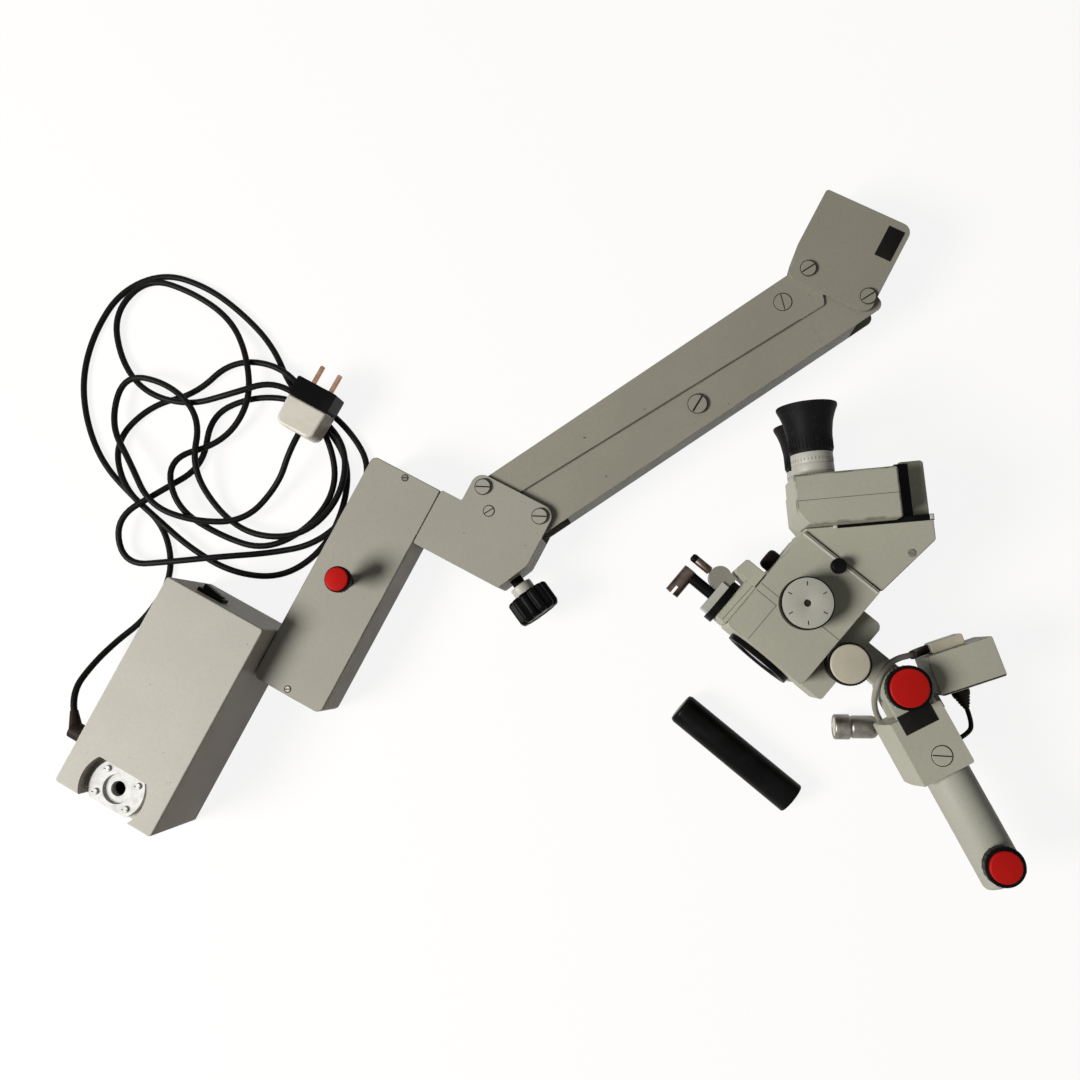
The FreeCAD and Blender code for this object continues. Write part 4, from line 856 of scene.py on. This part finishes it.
def outlined(name, points, radius, tall, wide, node, where, turn):
    """Dark rings round caps, and dark lines of painted shade in their slots."""
    shape = bmesh.new()
    rim = radius + 0.7
    for x, y, z in points:
        mark = spun([(radius, 0), (rim, 0), (rim, 0.15), (radius, 0.15), (radius, 0)], 0.01, 48)
        # a dark bar in the slot: painted shade
        line = bmesh.ops.create_cube(mark, size=1)["verts"]
        for vertex in line:
            vertex.co = metres(vertex.co.x * 1.86 * radius, vertex.co.y * wide * 0.94,
                               (vertex.co.z + 0.5) * 0.12 + tall - 0.3)
        mark.transform(turned_place(x, y, z, turn))
        join(shape, mark)
    return keep(name, shape, ink_and_painted_shade, node, where=where)


print("caps can be outlined")

# %% [markdown]
# The second tree puts a cap on points. An object input names what to place.

# %% Caps on points


def screws(name, points, radius, tall, wide, deep, finish, node, where, turn=0, lined=False):
    """Slotted caps at points, each turned by the same angle."""
    if lined:
        outlined(name + "_lines", points, radius, tall, wide, node, where, turn)
    master_mesh = bpy.data.meshes.new(name + "_master")
    shape = slotted(radius, tall, wide, deep)
    shape.to_mesh(master_mesh)
    shape.free()
    master_mesh.transform(Matrix.Rotation(math.radians(turn), 4, "Z"))
    master = bpy.data.objects.new(name + "_master", master_mesh)
    bpy.context.collection.objects.link(master)
    tree = Layout(name + "_layout", cap=None)
    what = tree.node("GeometryNodeObjectInfo", {"Object": tree.size("cap")})
    placed = tree.node("GeometryNodeInstanceOnPoints", {"Points": tree.inlet.outputs[0],
                       "Instance": what.outputs["Geometry"]})
    made = grown(name, tree.close(placed.outputs[0], finish), points, {"cap": master}, finish,
                 node, where)
    bpy.data.objects.remove(master)
    bpy.data.meshes.remove(master_mesh)
    return made


print("caps can be placed")

# %% [markdown]
# The pins and shanks under the caps stay as the CAD model has them. Then come the caps: on the
# pivots, the links, the covers and the head, and the four screws of the mounting flange.

# %% Pins, caps and flange screws


def stand_in(name, node, finish):
    """A merged, smooth copy of a CAD node that other pieces sit on."""
    return keep(name, merged(node), finish, node, replaced=(node,))


stand_in("bracket_pivot_pins", "bracket_pins", slot_metal)
stand_in("end_pivot_pins", "end_pins", slot_metal)
screws("bracket_caps", [(x, PIVOT_Y, 60.9) for x in (PIVOT_X, PIVOT_X + PIVOT_PAIR)], 6.6, 0.6,
       1.1, 0.5, arm_paint, "bracket_pins", BOX, 25, True)
screws("bracket_plug", [(168.7, 282.6, 59)], 4.6, 0.5, 0.8, 0.4, arm_paint, "joint_bracket", BOX,
       60, True)
screws("end_caps", [(0, 0, 60.9), (PIVOT_PAIR, 0, 60.9)], 6.6, 0.6, 1.1, 0.5, end_paint, "end_pins",
       END, 60, True)
screws("link_cap_dark", [(198, -44.6, 55.5)], 8.2, 0.5, 1.6, 0.4, spring_paint, "lower_link",
       LINK, 25, True)
screws("link_cap", [(311, -11.4, 55.6)], 7.6, 0.5, 0.9, 0.4, spring_paint, "upper_link", LINK, 70,
       True)
screws("arm_cover_screws", [(87, 274, 58), (84.7, 60, 58)], 2.6, 0.6, 0.7, 0.5, bare_steel,
       "swivel_arm_cover", BOX, 30, True)
screws("housing_cap", [(60.5, -1, 85)], 8, 0.5, 0.9, 0.4, head_paint, "arm_housing",
       TUBE @ turned_place(0, 0, -62), 60, True)
screws("base_screw", [(35.9, 31.7, 40)], 3.3, 1.0, 0.8, 0.6, slot_metal, "binocular_base", HEAD,
       30)
FLANGE_RING = [(19.4 * math.cos(math.radians(a)), -82 + 19.4 * math.sin(math.radians(a)), 82)
               for a in (35, 145, 215, 325)]
stand_in("flange_shanks", "flange_screws", bare_steel)
screws("flange_heads", FLANGE_RING, 2.9, 1.9, 0.8, 0.7, bright_metal, "flange_screws", BOX, 20)
print("slotted caps made")

# %% [markdown]
# Fine lines are where covers meet: thin dark ribbons that lie a tenth of a millimetre proud of
# the paint, or bare plates let into it. A pale ribbon is a painted highlight on a lit edge, a black
# ribbon is painted shade in a slit, and black bars are painted shade by the prism housings. A
# ribbon is a row of quads along a line, with thickness.

# %% Seams, plates, painted highlight and painted shade


def ribbon(name, line, width, height, finish, node, where, thick=0.12):
    """A thin flat strip along a line of (x, y) points."""
    shape = bmesh.new()
    for (x0, y0), (x1, y1) in zip(line, line[1:]):
        run = Vector((x1 - x0, y1 - y0)).normalized()
        side = Vector((-run.y, run.x)) * width / 2
        ends = [(x0 - run.x * width / 2, y0 - run.y * width / 2),
                (x1 + run.x * width / 2, y1 + run.y * width / 2)]
        flat = [(ends[0][0] - side.x, ends[0][1] - side.y),
                (ends[1][0] - side.x, ends[1][1] - side.y),
                (ends[1][0] + side.x, ends[1][1] + side.y),
                (ends[0][0] + side.x, ends[0][1] + side.y)]
        low = [shape.verts.new(metres(x, y, height - 0.05)) for x, y in flat]
        high = [shape.verts.new(metres(x, y, height + thick)) for x, y in flat]
        shape.faces.new(low[::-1])
        shape.faces.new(high)
        for step in range(4):
            after = (step + 1) % 4
            shape.faces.new([low[step], low[after], high[after], high[step]])
    return keep(name, shape, finish, node, where=where)


def bar(name, corner, far, finish, node, where, width=0.4):
    """A block between two corners, its edges rounded."""
    shape = bmesh.new()
    made = bmesh.ops.create_cube(shape, size=1)["verts"]
    low, high = Vector(corner), Vector(far)
    for vertex in made:
        share = vertex.co + Vector((0.5, 0.5, 0.5))
        vertex.co = Vector([low[i] + (high[i] - low[i]) * share[i] for i in range(3)]) * MM
    bmesh.ops.bevel(shape, geom=shape.edges[:], offset=width * MM, segments=2, profile=0.5,
                    affect="EDGES")
    return keep(name, shape, finish, node, where=where)


ribbon("arm_parting", [(28, -22), (314, -33)], 0.8, 55.6, seam, "upper_link", LINK)
ribbon("prism_parting", [(-40, 45), (39.5, 45)], 0.5, 60, seam, "prism_near", EYE)
ribbon("cover_line_a", [(-39.5, -70.5), (-19.5, -70.5), (-19.5, -105.5)], 0.5, 42, seam,
       "optical_housing", HEAD)
ribbon("cover_line_b", [(-39.5, -64), (-21.5, -64)], 0.5, 42, seam, "optical_housing", HEAD)
# The slit is not cut: a black ribbon paints the shade inside it.
ribbon("block_slit", [(-41.4, -55), (-41.4, -68)], 0.9, 30, ink_and_painted_shade, "illumination_block", HEAD)
ribbon("cover_line_c", [(19, -60), (36, -60)], 0.5, 42, seam, "optical_housing", HEAD)
ribbon("block_line", [(-43.6, -69), (-44.8, -106)], 0.5, 30, seam, "illumination_block", HEAD)
bar("end_plate", (363.5, 639, 58.8), (378.6, 668, 59.5), black_plate, "end_bracket", BOX, 0.2)
bar("housing_plate", (17.8, -18.1, 22.8), (34.2, 10.8, 23.6), black_plate, "arm_housing", TUBE,
    0.2)
ribbon("lamp_edge_line", [(1.5, -33), (53.5, -33)], 1.1, 18, ink_and_painted_shade, "lamp_housing", LAMP)
ribbon("seam_dark_line", [(-39, -9.6), (35, -9.6)], 0.7, 42, seam, "optical_housing", HEAD)
# A painted highlight: the lit edge beside the dark seam.
ribbon("seam_pale_line", [(-39, -11.2), (35, -11.2)], 1.4, 42, painted_edge_highlight, "optical_housing", HEAD)
# Painted shade: black bars for the shaded side of the near prism housing and the gap beside it, the
# shadow it casts on the hood, and the shaded prism wall along the seat.
bar("prism_gap", (44.7, 25, -28), (47.6, 66, 28), black, "binocular_base", EYE, 0.3)
bar("hood_strip", (44.7, 25.1, 24), (55.5, 72, 30.7), black, "binocular_hood", EYE, 0.3)
bar("seat_slot", (-8, 22.4, 36), (42, 24.9, 40.7), black, "binocular_base", EYE, 0.3)
bar("seat_slot_end", (42.1, 22.4, 31), (69, 27.6, 40.7), black, "binocular_base", EYE, 0.3)
bar("seat_clip_left", (-11, 22.6, 38), (-8.2, 24.9, 41.3), bright_metal, "binocular_base", EYE, 0.2)
bar("seat_clip_right", (65.5, 23, 38), (68.4, 27.2, 41.3), bright_metal, "binocular_base", EYE,
    0.2)
print("seams and plates made")

# %% [markdown]
# On the left of the head sits a light-port clamp: a black disc, a grey plate, a round pivot block
# with a brown rod, and a black sleeve that ends in a split metal fitting. They are one CAD solid,
# so its softened copy takes a finish face by face, by where each face lies along the port's axis.

# %% Light-port clamp
PORT = HEAD @ facing(-50, -92, -4, (-1, 0, 0))
clamp = softened("port_flange", black, 0.4)
for finish in (ring_paint, slot_metal, brown_metal):
    clamp.data.materials.append(finish.material)
back = PORT.inverted()
for face in clamp.data.polygons:
    x, y, z = (back @ face.center) / MM
    on_sleeve = math.hypot(x, y + 0.8) < 5.3
    if z > 34.5:
        face.material_index = 3
    elif z > 7.05 and not on_sleeve:
        face.material_index = 2 if y > 11.9 or z > 14.2 else 1
turned_piece("port_rod", [(0, 18), (2.2, 18), (2.2, 28), (3.7, 28), (3.7, 42.4), (0, 42.4)],
             brown_metal, "port_lever", PORT @ turned_place(0, 13.7), ease=0.3, segments=32)
turned_piece("port_rod_tip", [(0, 42.3), (3.7, 42.3), (3.7, 46.4), (2.4, 48), (0, 48)], black,
             "port_lever", PORT @ turned_place(0, 13.7), replaced=False, ease=0.6, segments=32)
print("pieces on the port made")

# %% [markdown]
# The photograph's light is soft and comes from the lower left, so the right-hand walls fall into
# a warm shade. One large soft lamp and an even world give that; the level is set so that a
# colour on the top faces renders about as it is written.

# %% Sky
SKY_LEVEL = 0.11
world = bpy.data.worlds.new("studio")
bpy.context.scene.world = world
world.use_nodes = True
sky = Nodes(world.node_tree)
soft = sky.node("ShaderNodeBackground", {"Color": (1.0, 0.97, 0.93, 1), "Strength": SKY_LEVEL})
white = sky.node("ShaderNodeBackground", {"Strength": 1.0})
either = sky.node("ShaderNodeMixShader", {0: sky.backdrop_rays(), 1: soft, 2: white})
sky.node("ShaderNodeOutputWorld", {"Surface": either})


print("sky level", SKY_LEVEL)

# %% [markdown]
# One large disc lamp stands for the window. It is aimed at the middle of the floor.

# %% The window


def lamp(name, place, aim, size, power, colour):
    data = bpy.data.lights.new(name, "AREA")
    data.shape = "DISK"
    data.size = size
    data.energy = power
    data.color = colour
    light = bpy.data.objects.new(name, data)
    light.matrix_world = Matrix.Translation(place) @ \
        (Vector(place) - Vector(aim)).to_track_quat("Z", "Y").to_matrix().to_4x4()
    bpy.context.collection.objects.link(light)


LAMP_POWER = 96
lamp("window", (-1.9, -0.75, 1.9), (0, 0, 0), 1.3, LAMP_POWER, (1.0, 0.985, 0.96))
bpy.context.scene.view_settings.view_transform = "Standard"
print("lamp power", LAMP_POWER)

# %% [markdown]
# The floor looks white to the camera, and in gloss and glass, but keeps a faint shadow. For other
# rays it is a warm brown, since the undersides in the photograph catch a brown light.

# %% Floor
floor_finish = Finish("pale_floor", Roughness=0.8, Specular_IOR_Level=0.1)
bright = floor_finish.node("ShaderNodeEmission", {"Color": (1, 1, 1, 1), "Strength": 1.03})
direct = floor_finish.node("ShaderNodeLightPath", output="Is Camera Ray")
floor_finish.feed(Base_Color=floor_finish.blend(direct, (0.24, 0.185, 0.15, 1),
                                                (0.82, 0.76, 0.70, 1)))
mixed = floor_finish.node("ShaderNodeMixShader", {0: floor_finish.backdrop_rays() * 0.86,
                          1: Wire(floor_finish, floor_finish.surface.outputs[0]), 2: bright})
floor_finish.plug(floor_finish.exit.inputs["Surface"], mixed)
ground = bmesh.new()
bmesh.ops.create_grid(ground, x_segments=1, y_segments=1, size=6)
floor_mesh = bpy.data.meshes.new("floor")
ground.to_mesh(floor_mesh)
ground.free()
floor_mesh.materials.append(floor_finish.material)
floor = bpy.data.objects.new("floor", floor_mesh)
floor.location.z = -0.0004
bpy.context.collection.objects.link(floor)
print("floor set")

# %% [markdown]
# Last, the number of cords is printed. The length of each cord was read from the picture, where
# it shows from end to end.

print("cords declared", 3)
